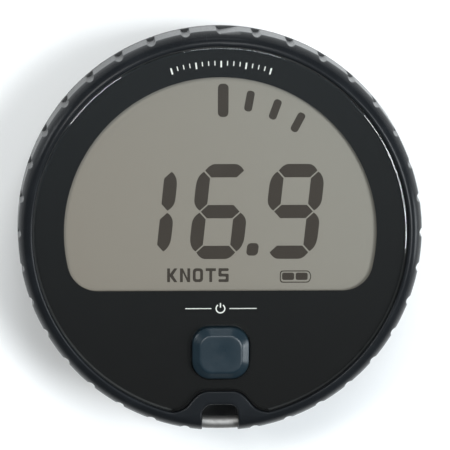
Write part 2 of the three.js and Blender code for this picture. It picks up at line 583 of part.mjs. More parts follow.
// ---------------------------------------------------------------- cells and contacts
const CELL_Z = TUB.ceiling - 0.6 - CELL_RADIUS;
const CELL_EDGE = 0.5;
const NUB_LENGTH = 1.4;
const NUB_RADIUS = 2.6;
const CONTACT_FACE_X = CONTACT_BACK_X - CONTACT_THICKNESS;
const CELL_TIP_X = CONTACT_FACE_X - STACK_GAP;
const CELL_FOOT_X = CELL_TIP_X - CELL_LENGTH;
const SPRING = { wire: 0.38, sides: 5, turns: 4, stepsPerTurn: 8, plateRadius: 4.6, cellRadius: 3.1 };
const CONTACT_DROP = 5.5;              // how far the contact plates reach below the cells' axis

/** A cell along X with its positive nub towards +X. */
function cell() {
  const shoulderX = CELL_LENGTH - NUB_LENGTH;
  return revolve([
    [0, 0], [CELL_RADIUS - CELL_EDGE, 0], [CELL_RADIUS, CELL_EDGE],
    [CELL_RADIUS, shoulderX - CELL_EDGE], [CELL_RADIUS - CELL_EDGE, shoulderX],
    [NUB_RADIUS, shoulderX], [NUB_RADIUS, CELL_LENGTH], [0, CELL_LENGTH],
  ], CELL_SEGMENTS).rotate([0, 90, 0]).translate([CELL_FOOT_X, 0, CELL_Z]);
}

/** A conical contact spring that stands on the plate at -X and presses a cell's flat end. */
function contactSpring() {
  const wireGap = SPRING.wire + STACK_GAP;
  const from = -CONTACT_FACE_X + wireGap;
  const to = CELL_FOOT_X - wireGap;
  const steps = SPRING.turns * SPRING.stepsPerTurn;
  const points = Array.from({ length: steps + 1 }, (_, i) => {
    const t = i / steps;
    const radius = SPRING.plateRadius + (SPRING.cellRadius - SPRING.plateRadius) * t;
    const [y, z] = polar(radius, 360 * SPRING.turns * t);
    return new THREE.Vector3(from + (to - from) * t, y, z);
  });
  const coil = roundTube(new THREE.CatmullRomCurve3(points), SPRING.wire, steps, SPRING.sides);
  return coil.translate([0, 0, CELL_Z]);
}

const upper = (solid) => solid.translate([0, CELL_OFFSET_Y, 0]);
const lower = (solid) => solid.rotate([0, 0, 180]).translate([0, -CELL_OFFSET_Y, 0]);
addPart('battery_upper', upper(cell()), CELL_SLEEVE);
addPart('battery_lower', lower(cell()), CELL_SLEEVE);
addPart('contact_spring_upper', upper(contactSpring()), STEEL);
addPart('contact_spring_lower', lower(contactSpring()), STEEL);

const contactX = CONTACT_BACK_X - CONTACT_THICKNESS / 2;
const CONTACT_WIDTH = 12.4;
const contactY = CELL_OFFSET_Y + 0.6;
function contactPlate(width, x, y) {
  return block(CONTACT_THICKNESS, width, CELL_Z - CONTACT_DROP, TUB.ceiling - 0.2, [x, y]);
}
addPart('contact_plate_bridge', contactPlate(2 * contactY + CONTACT_WIDTH, -contactX, 0), STEEL);
addPart('contact_plate_upper', contactPlate(CONTACT_WIDTH, contactX, contactY), STEEL);
addPart('contact_plate_lower', contactPlate(CONTACT_WIDTH, contactX, -contactY), STEEL);
for (const [pole, place] of Object.entries(pinPlaces)) {
  addPart(`contact_pin_${pole}`, pillar(PIN_RADIUS, TUB.ceiling - 0.4, UNDER_BOARD_Z, place), BRASS);
}

// ---------------------------------------------------------------- battery door
const HEAD_RADIUS = 3.9;
const HEAD_SEAT_Z = DOOR_OUTER_Z + 1.5;
const COIN_SLOT = { width: 1.3, depth: 0.8 };
const SHANK_RADIUS = 1.5;
const DOOR_HOLE_RADIUS = 1.9;
const INSERT_BORE = 1.65;
const CLIP = { radius: 2.9, bore: 1.6, thickness: 0.5 };
const GASKET_BOTTOM_Z = DOOR_INNER_Z - 0.6;
const GASKET = { length: 64.2, width: 36, corner: 3.6, thickness: 1.4 };

const gasketBand = (spare, bottom, top) => cut(
  plate(roundedRectangle(GASKET.length + 2 * spare, GASKET.width + 2 * spare, GASKET.corner), bottom, top),
  plate(roundedRectangle(
    GASKET.length - 2 * (GASKET.thickness + spare), GASKET.width - 2 * (GASKET.thickness + spare),
    GASKET.corner - GASKET.thickness), bottom - 1, top + 1));

const doorBlank = plate(
  roundedRectangle(DOOR_LENGTH - 2 * FIT_GAP, DOOR_WIDTH - 2 * FIT_GAP, DOOR_CORNER - FIT_GAP),
  DOOR_OUTER_Z, DOOR_INNER_Z);
const headRecesses = doorScrewPlaces.map((place) =>
  pillar(HEAD_RADIUS + FIT_GAP, -BEYOND, HEAD_SEAT_Z, place, HEAD_SEGMENTS));
addPart('battery_door', cut(
  doorBlank,
  gasketBand(STACK_GAP, GASKET_BOTTOM_Z - TOUCH_GAP, DOOR_INNER_Z + BEYOND),
  ...headRecesses,
  ...pillars(doorScrewPlaces, DOOR_HOLE_RADIUS, -BEYOND, DOOR_INNER_Z + BEYOND)), SATIN_BLACK);
addPart('door_gasket', gasketBand(0, GASKET_BOTTOM_Z, SEAT_Z - TOUCH_GAP), SEAL_RUBBER);

/** A captive screw with a coin slot, its retaining clip behind the door, and its brass insert. */
function doorScrew(side, place) {
  const headBottom = DOOR_OUTER_Z + TOUCH_GAP;
  const head = pillar(HEAD_RADIUS, headBottom, HEAD_SEAT_Z - TOUCH_GAP, place, HEAD_SEGMENTS);
  const shank = pillar(SHANK_RADIUS, HEAD_SEAT_Z - 1, INSERT_TOP_Z - FIT_GAP, place);
  const coinSlot = block(
    2 * HEAD_RADIUS + 1, COIN_SLOT.width, -BEYOND, headBottom + COIN_SLOT.depth, place);
  addPart(`door_screw_${side}`, cut(head.add(shank), coinSlot), STEEL);

  const clipBottom = DOOR_INNER_Z + TOUCH_GAP;
  const clip = pillar(CLIP.radius, clipBottom, clipBottom + CLIP.thickness, place);
  addPart(`screw_clip_${side}`, cut(clip, pillar(CLIP.bore, 0, INSERT_TOP_Z, place)), SEAL_RUBBER);

  const insert = pillar(INSERT_RADIUS, INSERT_BOTTOM_Z, INSERT_TOP_Z, place);
  addPart(`screw_insert_${side}`, cut(insert, pillar(INSERT_BORE, 0, INSERT_TOP_Z + 1, place)), BRASS);
}
doorScrew('left', doorScrewPlaces[0]);
doorScrew('right', doorScrewPlaces[1]);

export default display;
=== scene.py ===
# %% [markdown]
# # A round speed display for a small boat
#
# The object is a sealed puck, 108 mm across and 38 mm tall, that lies on its back. A soft rubber
# ring with grip flutes wraps a black housing, a clear lens covers the whole front, and a large
# liquid crystal display shows three digits. One rounded button stands out of the lower front, and
# a steel bar crosses a slot in the lower rim, where a lanyard is tied.
#
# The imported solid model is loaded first. It fixes every size and every moving body. What is seen
# is then rebuilt finely round it, piece by piece, and each piece rides on its own body.

import math

import bmesh
import bpy
from mathutils import Matrix, Vector


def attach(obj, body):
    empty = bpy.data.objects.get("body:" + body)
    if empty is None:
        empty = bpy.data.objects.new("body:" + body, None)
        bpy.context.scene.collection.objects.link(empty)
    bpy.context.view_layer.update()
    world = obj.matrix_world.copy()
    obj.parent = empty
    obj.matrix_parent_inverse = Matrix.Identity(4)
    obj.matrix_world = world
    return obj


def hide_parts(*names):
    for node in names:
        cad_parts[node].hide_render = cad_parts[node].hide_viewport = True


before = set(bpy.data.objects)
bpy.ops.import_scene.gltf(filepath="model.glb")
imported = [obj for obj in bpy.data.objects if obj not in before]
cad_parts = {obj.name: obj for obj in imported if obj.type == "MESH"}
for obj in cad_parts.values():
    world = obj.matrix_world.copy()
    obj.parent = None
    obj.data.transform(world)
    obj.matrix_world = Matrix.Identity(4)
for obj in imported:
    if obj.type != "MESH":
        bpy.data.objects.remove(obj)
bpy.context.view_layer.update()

# %% [markdown]
# ## The view
#
# The camera stands almost straight over the display, leaning a little towards its top, so that
# the upper part of the ring shows its side wall and the lower part doesn't. A long lens from
# about 0.7 m keeps the circle round.

# %% Camera
MM = 0.001
CAMERA_LEAN = math.radians(8.44)
CAMERA_TURN = math.radians(2.28)
CAMERA_ROLL = math.radians(0.2)
CAMERA_DISTANCE = 670 * MM
SENSOR_WIDTH = 36
FOCAL_LENGTH = 201.5
NEAREST_SEEN = 50 * MM
AIM_HEIGHT = 28 * MM
AIM_RIGHT = 1.35 * MM
AIM_UP = 1.42 * MM

towards = Vector((
    -math.sin(CAMERA_TURN) * math.cos(CAMERA_LEAN),
    math.sin(CAMERA_LEAN),
    math.cos(CAMERA_TURN) * math.cos(CAMERA_LEAN),
))
level = Vector((0, 1, 0)).cross(towards).normalized()
upright = towards.cross(level)
right = level * math.cos(CAMERA_ROLL) + upright * math.sin(CAMERA_ROLL)
up = towards.cross(right)
aim = Vector((0, 0, AIM_HEIGHT)) + right * AIM_RIGHT + up * AIM_UP

camera_data = bpy.data.cameras.new("camera")
camera_data.sensor_width = SENSOR_WIDTH
camera_data.lens = FOCAL_LENGTH
camera_data.clip_start = NEAREST_SEEN
camera = bpy.data.objects.new("camera", camera_data)
camera.matrix_world = Matrix((
    (right.x, up.x, towards.x, 0),
    (right.y, up.y, towards.y, 0),
    (right.z, up.z, towards.z, 0),
    (0, 0, 0, 1),
))
camera.location = aim + towards * CAMERA_DISTANCE
bpy.context.scene.collection.objects.link(camera)
bpy.context.scene.camera = camera
print("camera at, in mm:", [round(v / MM) for v in camera.location])

# %% [markdown]
# ## The studio
#
# The puck lies on a pale sweep under soft boxes. Three things set the look. The sweep is bright,
# because the ring's steep side wall mirrors it at a grazing angle. The air straight above is dim,
# because the glossy lens mirrors it and must stay black. The main box stands high on the right,
# where the lens's rounded edge catches it, and low panels at the sides light the slopes of the
# button and of the ring's shoulder.

# %% Light
BOX_TARGET = Vector((0, 0, 20 * MM))
ROOM_COLOUR = (0.135, 0.137, 0.138, 1)
CEILING_COLOUR = (0.52, 0.64, 0.72, 1)
CEILING_FADE = (("Y", -0.27, 0.06), ("Z", 0.72, 0.95))


def soft_box(name, place, size, power, colour):
    """A square soft light that faces the puck."""
    data = bpy.data.lights.new(name, "AREA")
    data.shape = "SQUARE"
    data.size = size
    data.energy = power
    data.color = colour
    lamp = bpy.data.objects.new(name, data)
    lamp.location = place
    lamp.rotation_euler = (BOX_TARGET - lamp.location).to_track_quat("-Z", "Y").to_euler()
    bpy.context.scene.collection.objects.link(lamp)
    return lamp


def room():
    """A dim room with a pale ceiling panel that reaches a little past the point overhead."""
    made = bpy.data.worlds.new("dim_room")
    made.use_nodes = True
    nodes = made.node_tree.nodes
    links = made.node_tree.links
    place = nodes.new("ShaderNodeTexCoord")
    split = nodes.new("ShaderNodeSeparateXYZ")
    links.new(place.outputs["Generated"], split.inputs[0])
    masks = []
    for axis, low, high in CEILING_FADE:
        ease = nodes.new("ShaderNodeMapRange")
        ease.interpolation_type = "SMOOTHSTEP"
        ease.inputs["From Min"].default_value = low
        ease.inputs["From Max"].default_value = high
        links.new(split.outputs[axis], ease.inputs["Value"])
        masks.append(ease.outputs[0])
    both = nodes.new("ShaderNodeMath")
    both.operation = "MULTIPLY"
    links.new(masks[0], both.inputs[0])
    links.new(masks[1], both.inputs[1])
    mix = nodes.new("ShaderNodeMix")
    mix.data_type = "RGBA"
    links.new(both.outputs[0], mix.inputs[0])
    mix.inputs[6].default_value = ROOM_COLOUR
    mix.inputs[7].default_value = CEILING_COLOUR
    links.new(mix.outputs[2], nodes["Background"].inputs["Color"])
    return made


bpy.context.scene.world = room()
bpy.context.scene.view_settings.view_transform = "Standard"

# Each light: its name, its place and width in metres, its watts and its colour.
for light in [
    ("key_box", (0.50, -0.01, 0.95), 0.36, 8.6, (0.93, 0.97, 1.0)),
    ("left_box", (-0.40, 0.32, 0.95), 0.24, 4.2, (1.0, 0.99, 0.97)),
    ("top_box", (0.10, 0.56, 0.95), 0.34, 3.4, (0.95, 0.98, 1.0)),
    ("right_panel", (0.85, -0.10, 0.12), 0.24, 2.6, (0.90, 0.96, 1.0)),
    ("left_panel", (-0.80, 0.36, 0.13), 0.22, 1.3, (0.95, 0.98, 1.0)),
    ("top_panel", (0.02, 0.85, 0.24), 0.26, 0.6, (0.92, 0.97, 1.0)),
]:
    soft_box(*light)

# %% [markdown]
# ## Shader arithmetic
#
# Every finish is made of nodes. A small wrapper round a node's output lets the maths read as
# maths: adding or multiplying two wires makes a Math node. Colours go through a Mix node. One
# method makes any other node from its type, its settings and what its sockets get.

# %% A wire that does arithmetic, and a finish that collects nodes
class Wire:
    """An output of a material's node; arithmetic on it adds Math nodes to the same material."""

    def __init__(self, finish, output):
        self.finish = finish
        self.output = output

    def math(self, operation, *values, clamp=False):
        settings = {"operation": operation, "use_clamp": clamp}
        return self.finish.node("ShaderNodeMath", settings, dict(enumerate(values)))

    def __add__(self, other):
        return self.math("ADD", self, other)

    def __radd__(self, other):
        return self.math("ADD", other, self)

    def __sub__(self, other):
        return self.math("SUBTRACT", self, other)

    def __rsub__(self, other):
        return self.math("SUBTRACT", other, self)

    def __mul__(self, other):
        return self.math("MULTIPLY", self, other)

    def __rmul__(self, other):
        return self.math("MULTIPLY", other, self)

    def __pow__(self, other):
        return self.math("POWER", self, other)

    def sine(self):
        return self.math("SINE", self)

    def clipped(self):
        return self.math("ADD", self, 0.0, clamp=True)

    def between(self, low, high):
        """0 at or under low, 1 at or over high, smooth in the middle. low may be the larger."""
        values = {"Value": self, "From Min": low, "From Max": high}
        return self.finish.node("ShaderNodeMapRange", {"interpolation_type": "SMOOTHSTEP"}, values)


class Finish:
    """One procedural material, whose texture coordinates are the piece's own, in millimetres."""

    def __init__(self, name):
        self.material = bpy.data.materials.new(name)
        self.material.use_nodes = True
        self.tree = self.material.node_tree
        self.tree.nodes.clear()
        metres = self.node("ShaderNodeTexCoord", {}, {}, "Object")
        self.place = self.scaled(metres, (1 / MM, 1 / MM, 1 / MM))

    def node(self, kind, settings, values, output=0):
        made = self.tree.nodes.new(kind)
        for name, value in settings.items():
            setattr(made, name, value)
        for name, value in values.items():
            if isinstance(value, Wire):
                self.tree.links.new(value.output, made.inputs[name])
            else:
                made.inputs[name].default_value = value
        return Wire(self, made.outputs[output])

    def scaled(self, vector, factors):
        return self.node("ShaderNodeVectorMath", {"operation": "MULTIPLY"}, {0: vector, 1: factors})

    def noise(self, size, detail=2.0, stretch=(1, 1, 1)):
        """Soft noise about 0.5 with blobs of a size in millimetres, drawn out by the stretch."""
        place = self.scaled(self.place, tuple(1 / (size * s) for s in stretch))
        values = {"Vector": place, "Scale": 1.0, "Detail": detail, "Roughness": 0.55}
        return self.node("ShaderNodeTexNoise", {}, values)

    def axes(self):
        """The x, y and z of the piece's own place, in millimetres."""
        made = self.tree.nodes.new("ShaderNodeSeparateXYZ")
        self.tree.links.new(self.place.output, made.inputs[0])
        return [Wire(self, output) for output in made.outputs]

    def radius(self):
        """The distance from the puck's axis, in millimetres."""
        flat = self.scaled(self.place, (1, 1, 0))
        return self.node("ShaderNodeVectorMath", {"operation": "LENGTH"}, {0: flat}, "Value")

    def blend(self, mask, first, second):
        """One colour where the mask is 0, the other where it is 1."""
        opaque = [c if isinstance(c, Wire) else (*c, 1.0) for c in (first, second)]
        values = {0: mask, 6: opaque[0], 7: opaque[1]}
        return self.node("ShaderNodeMix", {"data_type": "RGBA"}, values, 2)

    def bump(self, height, depth):
        """A normal raised by a height of 0 to 1 that stands for a depth in millimetres."""
        values = {"Height": height, "Strength": 1.0, "Distance": depth * MM}
        return self.node("ShaderNodeBump", {}, values)

    def surface(self, **values):
        named = {name.replace("_", " "): value for name, value in values.items()}
        self.done(self.node("ShaderNodeBsdfPrincipled", {}, named, "BSDF"))
        return self.material

    def done(self, shader):
        output = self.tree.nodes.new("ShaderNodeOutputMaterial")
        self.tree.links.new(shader.output, output.inputs["Surface"])
        return self.material


print("the shader helper is ready")

# %% [markdown]
# ## Finishes
#
# **Moulded pieces.** A steel mould is spark-eroded or blasted, so moulded plastic and rubber show
# a fine grain under a millimetre across, patches where the grain is more or less worn, and a few
# hairline scuffs. One function makes them all from a colour, a roughness and a grain.

# %% Moulded plastic and rubber
SCUFF_SIZE = 0.3
SCUFF_EDGE = (0.66, 0.74)


def scuff_mask(finish):
    """Sparse hairlines in two directions, 1 on a line."""
    along = finish.noise(SCUFF_SIZE, 1.0, (14, 0.6, 4))
    across = finish.noise(SCUFF_SIZE, 1.0, (0.6, 11, 4))
    patches = finish.noise(16.0, 1.0).between(0.48, 0.7)
    return (along.between(*SCUFF_EDGE) + across.between(*SCUFF_EDGE)) * patches


def moulded(name, colour, worn, roughness, grain=0.35, depth=0.02, wear=None, spread=0.10, shine=0.5):
    """Moulded material. The worn colour shows in patches, on scuffs and where the wear wire says."""
    finish = Finish(name)
    patches = finish.noise(9.0, 3.0)
    speckle = finish.noise(0.5, 2.0)
    scuffs = scuff_mask(finish)
    paler = (patches.between(0.42, 0.75) * 0.35 + speckle.between(0.45, 0.8) * 0.2 + scuffs * 0.5)
    if wear:
        paler = paler + wear(finish)
    fine = finish.noise(grain, 3.0)
    rough = roughness + (patches - 0.5) * spread + (fine - 0.5) * spread + scuffs * 0.1
    relief = fine + scuffs * -0.4
    return finish.surface(
        Base_Color=finish.blend(paler.clipped(), colour, worn),
        Roughness=rough.clipped(),
        Specular_IOR_Level=shine,
        Normal=finish.bump(relief, depth))


def ring_wear(finish):
    """Handling rubs the edge between the ring's shoulder and its side, in patches."""
    radius = finish.radius()
    patchy = finish.noise(5.0, 3.0).between(0.35, 0.7)
    edge = radius.between(52.9, 53.4) * radius.between(53.75, 53.5)
    return edge * patchy * 0.7


HOUSING_BLACK = (0.012, 0.0125, 0.013)
HOUSING_WORN = (0.022, 0.023, 0.024)
RING_BLUE_BLACK = (0.0086, 0.0098, 0.0114)
RING_WORN = (0.017, 0.0195, 0.0225)
ring_rubber = moulded(
    "ring_rubber", RING_BLUE_BLACK, RING_WORN, 0.25, 0.28, 0.008, ring_wear, spread=0.06, shine=0.11)
black_housing = moulded("black_housing", HOUSING_BLACK, HOUSING_WORN, 0.46, 0.3, 0.03)
door_plastic = moulded("door_plastic", HOUSING_BLACK, HOUSING_WORN, 0.5, 0.5, 0.05)
seal_rubber = moulded("seal_rubber", (0.012, 0.012, 0.012), (0.02, 0.02, 0.02), 0.62, 0.4, 0.015)
inner_plastic = moulded("inner_plastic", (0.014, 0.014, 0.015), (0.02, 0.02, 0.021), 0.55, 0.4, 0.02)
chip_black = moulded("chip_black", (0.014, 0.014, 0.015), (0.03, 0.03, 0.03), 0.55, 0.2, 0.01)
antenna_ceramic = moulded("antenna_ceramic", (0.60, 0.52, 0.36), (0.68, 0.61, 0.46), 0.5, 0.25, 0.01)
print("moulded finishes:", [m.name for m in bpy.data.materials if m.name.startswith(("ring", "black"))])

# %% [markdown]
# **Button.** The cap is a blue-grey plastic, smoother than the ring. Thumbs polish the middle of
# its dished top, so the roughness falls there, and the rim keeps its grain.

# %% Button plastic
BUTTON_Y = -31.7
SLATE_BLUE = (0.0068, 0.0165, 0.0240)
SLATE_WORN = (0.0095, 0.0215, 0.0305)


def button_plastic():
    finish = Finish("button_blue")
    x, y, _ = finish.axes()
    off_centre = ((x * x) + (y - BUTTON_Y) * (y - BUTTON_Y)) ** 0.5
    thumbed = off_centre.between(7.0, 2.0) * finish.noise(3.5, 3.0).between(0.3, 0.65)
    patches = finish.noise(4.0, 3.0)
    grain = finish.noise(0.3, 3.0)
    scuffs = scuff_mask(finish)
    rough = 0.34 + (patches - 0.5) * 0.08 + (grain - 0.5) * 0.08 - thumbed * 0.05
    paler = patches.between(0.4, 0.75) * 0.4 + scuffs * 0.4
    return finish.surface(
        Base_Color=finish.blend(paler.clipped(), SLATE_BLUE, SLATE_WORN),
        Roughness=rough.clipped(),
        Specular_IOR_Level=0.36,
        Normal=finish.bump(grain, 0.012))


button_blue = button_plastic()
print("button finish:", button_blue.name)

# %% [markdown]
# **Metals.** The lanyard bar is turned stainless rod, so its brushing runs round it. Screws and
# contacts are plated. Fine scratches are noise drawn out along one direction: they vary the
# roughness and lift the surface by a few thousandths of a millimetre.

# %% Metals
def brushed(name, colour, tarnish, roughness, stretch, depth=0.004, size=0.06):
    """Metal with scratches drawn out along the longest stretch, and tarnish in the hollows."""
    finish = Finish(name)
    lines = finish.noise(size, 2.0, stretch)
    stains = finish.noise(2.4, 3.0)
    pits = finish.noise(0.25, 2.0).between(0.62, 0.78)
    rough = roughness + (lines - 0.5) * 0.22 + stains.between(0.45, 0.8) * 0.1 + pits * 0.1
    dull = (stains.between(0.42, 0.8) * 0.6 + pits * 0.35).clipped()
    return finish.surface(
        Base_Color=finish.blend(dull, colour, tarnish),
        Metallic=1.0,
        Roughness=rough.clipped(),
        Normal=finish.bump(lines + pits * -0.5, depth))


STEEL_BRIGHT = (0.60, 0.59, 0.57)
STEEL_DULL = (0.40, 0.39, 0.37)
bar_steel = brushed("bar_steel", (0.30, 0.295, 0.285), (0.21, 0.205, 0.20), 0.56, (1.2, 10, 10))
stainless_steel = brushed("stainless_steel", STEEL_BRIGHT, STEEL_DULL, 0.3, (12, 1, 6))
turned_steel = brushed("turned_steel", STEEL_BRIGHT, STEEL_DULL, 0.3, (8, 8, 1))
contact_metal = brushed("contact_metal", (0.66, 0.64, 0.60), (0.48, 0.46, 0.42), 0.28, (1, 10, 1))
silver_film = brushed("silver_film", (0.62, 0.62, 0.60), (0.56, 0.56, 0.54), 0.38, (10, 10, 1))
brass = brushed("brass", (0.62, 0.42, 0.16), (0.42, 0.27, 0.10), 0.32, (8, 8, 1))
print("metals:", [m.name for m in (bar_steel, stainless_steel, turned_steel, contact_metal, brass)])

# %% [markdown]
# **Clear lens.** The lens is a 2 mm polycarbonate disc. Light passes straight through it and a
# little is mirrored off its front, more at a grazing angle, which is what Fresnel gives. The back
# of each face lets everything through, or the display would go dark under slanted light.
# Fingerprints only show as a slightly softer mirror.

# %% Clear lens
def lens_finish():
    finish = Finish("clear_lens")
    inside = finish.node("ShaderNodeNewGeometry", {}, {}, "Backfacing")
    mirror = finish.node("ShaderNodeFresnel", {}, {"IOR": 1.5}, "Fac") * (1 - inside)
    smears = finish.noise(7.0, 4.0, (1.6, 1, 1)).between(0.5, 0.78)
    rough = 0.035 + smears * 0.035
    clear = finish.node("ShaderNodeBsdfTransparent", {}, {"Color": (0.975, 0.98, 0.97, 1)})
    gloss = finish.node("ShaderNodeBsdfGlossy", {}, {"Color": (1, 1, 1, 1), "Roughness": rough})
    return finish.done(finish.node("ShaderNodeMixShader", {}, {0: mirror, 1: clear, 2: gloss}))


clear_lens = lens_finish()
print("lens finish:", clear_lens.name)

# %% [markdown]
# ** Prints and display.** The black border is screen-printed on the back of the lens: a dense ink
# with a faint orange-peel. The white marks are the same ink in white. The display is a reflective
# liquid crystal panel: grey-green glass over a diffusing film, with a fine even sparkle, a slight
# drift of colour across its width, and dark segments.

# %% Inks, display glass and segments
def ink(name, colour, thin_colour, roughness):
    finish = Finish(name)
    peel = finish.noise(0.6, 2.0)
    density = finish.noise(5.0, 3.0)
    pinholes = finish.noise(0.12, 1.0).between(0.7, 0.8)
    thin = (density.between(0.5, 0.8) * 0.4 + pinholes * 0.1).clipped()
    return finish.surface(
        Base_Color=finish.blend(thin, colour, thin_colour),
        Roughness=(roughness + (peel - 0.5) * 0.1 + (density - 0.5) * 0.08).clipped(),
        Specular_IOR_Level=0.05,
        Normal=finish.bump(peel, 0.004))


def display_glass_finish():
    finish = Finish("display_glass")
    x, y, _ = finish.axes()
    drift = (x * 0.011 + y * 0.006 + 0.5 + (finish.noise(30.0, 1.0) - 0.5) * 0.3).clipped()
    field = finish.blend(drift, (0.196, 0.168, 0.140), (0.192, 0.175, 0.150))
    sparkle = finish.noise(0.16, 1.0)
    film = finish.noise(2.0, 2.0)
    haze = (sparkle.between(0.3, 0.7) * 0.10 + film * 0.06).clipped()
    return finish.surface(
        Base_Color=finish.blend(haze, field, (0.2, 0.19, 0.16)),
        Roughness=(0.42 + (film - 0.5) * 0.1).clipped(),
        Normal=finish.bump(sparkle, 0.003))


black_print = ink("black_print", (0.004, 0.004, 0.004), (0.006, 0.006, 0.006), 0.5)
white_print = ink("white_print", (0.72, 0.72, 0.70), (0.55, 0.55, 0.54), 0.5)
segment_ink = ink("segment_ink", (0.040, 0.032, 0.026), (0.048, 0.040, 0.033), 0.45)
display_glass = display_glass_finish()
print("print finishes:", black_print.name, white_print.name, segment_ink.name, display_glass.name)

# %% [markdown]
# **Hidden pieces.** The circuit board has green solder resist with copper tracks that show as
# faint lines. A cell's sleeve has a coloured band, a pale band at its positive end, and shrink
# film gloss. They are only seen when the puck is taken apart, but are finished all the same.

# %% Board and cell sleeve
def board_finish():
    finish = Finish("circuit_board")
    x, y, _ = finish.axes()
    wander = finish.noise(6.0, 2.0) * 9.0
    tracks = ((x + wander) * 2.6).sine().between(0.75, 0.95)
    fill = ((y + wander) * 1.7).sine().between(0.9, 0.98)
    copper = (tracks + fill).clipped()
    weave = finish.noise(0.4, 2.0)
    return finish.surface(
        Base_Color=finish.blend(copper * 0.7, (0.010, 0.065, 0.032), (0.030, 0.130, 0.060)),
        Roughness=(0.38 + (weave - 0.5) * 0.15).clipped(),
        Normal=finish.bump(copper + weave * 0.2, 0.02))


PALE_FROM = 12.0


def sleeve_finish():
    """The sleeve's bands lie along X; both cells are drawn round their own middle."""
    finish = Finish("cell_sleeve")
    x, _, _ = finish.axes()
    pale = x.between(PALE_FROM, PALE_FROM + 0.3)
    line = x.between(PALE_FROM - 1.2, PALE_FROM - 1.0) * x.between(PALE_FROM, PALE_FROM - 0.2)
    rub = finish.noise(0.5, 3.0, (8, 1, 1)).between(0.6, 0.8)
    wrinkle = finish.noise(1.8, 2.0)
    base = finish.blend(pale, (0.035, 0.10, 0.17), (0.55, 0.55, 0.53))
    lined = finish.blend(line, base, (0.75, 0.75, 0.74))
    return finish.surface(
        Base_Color=finish.blend(rub * 0.25, lined, (0.6, 0.6, 0.6)),
        Metallic=0.25,
        Roughness=(0.3 + (wrinkle - 0.5) * 0.15 + rub * 0.15).clipped(),
        Normal=finish.bump(wrinkle, 0.02))


circuit_board = board_finish()
cell_sleeve = sleeve_finish()
print("hidden finishes:", circuit_board.name, cell_sleeve.name)

# %% [markdown]
# ## Making meshes
#
# All shapes are worked out in millimetres and stored in metres. Three makers cover the puck: a
# grid of rows for anything turned or lofted, a slab for anything cut from sheet, with rounded
# edges, and a carve step that joins or cuts solids.

# %% Mesh makers
SMOOTH_ANGLE = math.radians(32)


def scene_object(name, mesh):
    piece = bpy.data.objects.new(name, mesh)
    bpy.context.scene.collection.objects.link(piece)
    return piece


def grid(name, rows, loop_rows=False):
    """A skin over rows of equal point counts. Each row is a closed loop; the rows may close too."""
    mesh = bpy.data.meshes.new(name)
    bm = bmesh.new()
    lines = [[bm.verts.new([c * MM for c in point]) for point in row] for row in rows]
    pairs = list(zip(lines, lines[1:])) + ([(lines[-1], lines[0])] if loop_rows else [])
    for near, far in pairs:
        for i in range(len(near)):
            j = (i + 1) % len(near)
            bm.faces.new((near[i], near[j], far[j], far[i]))
    bmesh.ops.remove_doubles(bm, verts=bm.verts, dist=1e-7)
    ends = [line for line in (lines[0], lines[-1]) if not loop_rows]
    for line in ends:
        alive = [v for v in line if v.is_valid]
        if len(alive) > 2:
            bm.faces.new(alive)
    bmesh.ops.recalc_face_normals(bm, faces=bm.faces)
    bm.to_mesh(mesh)
    bm.free()
    return scene_object(name, mesh)


def polar(radius, degrees, centre=(0, 0)):
    angle = math.radians(degrees)
    return (centre[0] + radius * math.cos(angle), centre[1] + radius * math.sin(angle))


def turned(name, profile, centre=(0, 0), segments=48, closed=False):
    """A turned solid from [radius, z] points. A closed profile makes a ring."""
    rows = [
        [(*polar(max(r, 0), 360 * i / segments, centre), z) for i in range(segments)]
        for r, z in profile
    ]
    return grid(name, rows, closed)


def arc(centre, radius, start, end, step=5):
    count = max(2, math.ceil(abs(end - start) / step))
    return [polar(radius, start + (end - start) * i / count, centre) for i in range(count + 1)]


def rounded_rectangle(width, depth, corner, centre=(0, 0), step=5):
    dx = width / 2 - corner
    dy = depth / 2 - corner
    x, y = centre
    return [
        *arc((x + dx, y + dy), corner, 0, 90, step),
        *arc((x - dx, y + dy), corner, 90, 180, step),
        *arc((x - dx, y - dy), corner, 180, 270, step),
        *arc((x + dx, y - dy), corner, 270, 360, step),
    ]


def display_outline(radius, base_y, corner):
    """An arc about the puck's axis over a flat base with rounded corners."""
    corner_y = base_y + corner
    corner_x = math.sqrt((radius - corner) ** 2 - corner_y ** 2)
    meet = math.degrees(math.atan2(corner_y, corner_x))
    return [
        *arc((corner_x, corner_y), corner, -90, meet),
        *arc((0, 0), radius, meet, 180 - meet, 1.5)[1:-1],
        *arc((-corner_x, corner_y), corner, 180 - meet, 270),
    ]


def slab(name, outlines, bottom, top, bevel=0.0, rounds=3):
    """A flat plate with rounded edges. The first outline is its edge and the others are holes."""
    curve = bpy.data.curves.new(name, "CURVE")
    curve.dimensions = "2D"
    curve.fill_mode = "BOTH"
    for outline in outlines:
        spline = curve.splines.new("POLY")
        spline.points.add(len(outline) - 1)
        for point, (x, y) in zip(spline.points, outline):
            point.co = (x * MM, y * MM, 0, 1)
        spline.use_cyclic_u = True
    curve.extrude = ((top - bottom) / 2 - bevel) * MM
    curve.bevel_depth = bevel * MM
    curve.bevel_resolution = rounds
    curve.offset = -bevel * MM
    helper = scene_object(name, curve)
    depsgraph = bpy.context.evaluated_depsgraph_get()
    mesh = bpy.data.meshes.new_from_object(helper.evaluated_get(depsgraph))
    bpy.data.objects.remove(helper)
    mesh.transform(Matrix.Translation((0, 0, (bottom + top) / 2 * MM)))
    mesh.materials.clear()
    bm = bmesh.new()
    bm.from_mesh(mesh)
    bmesh.ops.remove_doubles(bm, verts=bm.verts, dist=1e-7)
    bmesh.ops.recalc_face_normals(bm, faces=bm.faces)
    bm.to_mesh(mesh)
    bm.free()
    return scene_object(name, mesh)


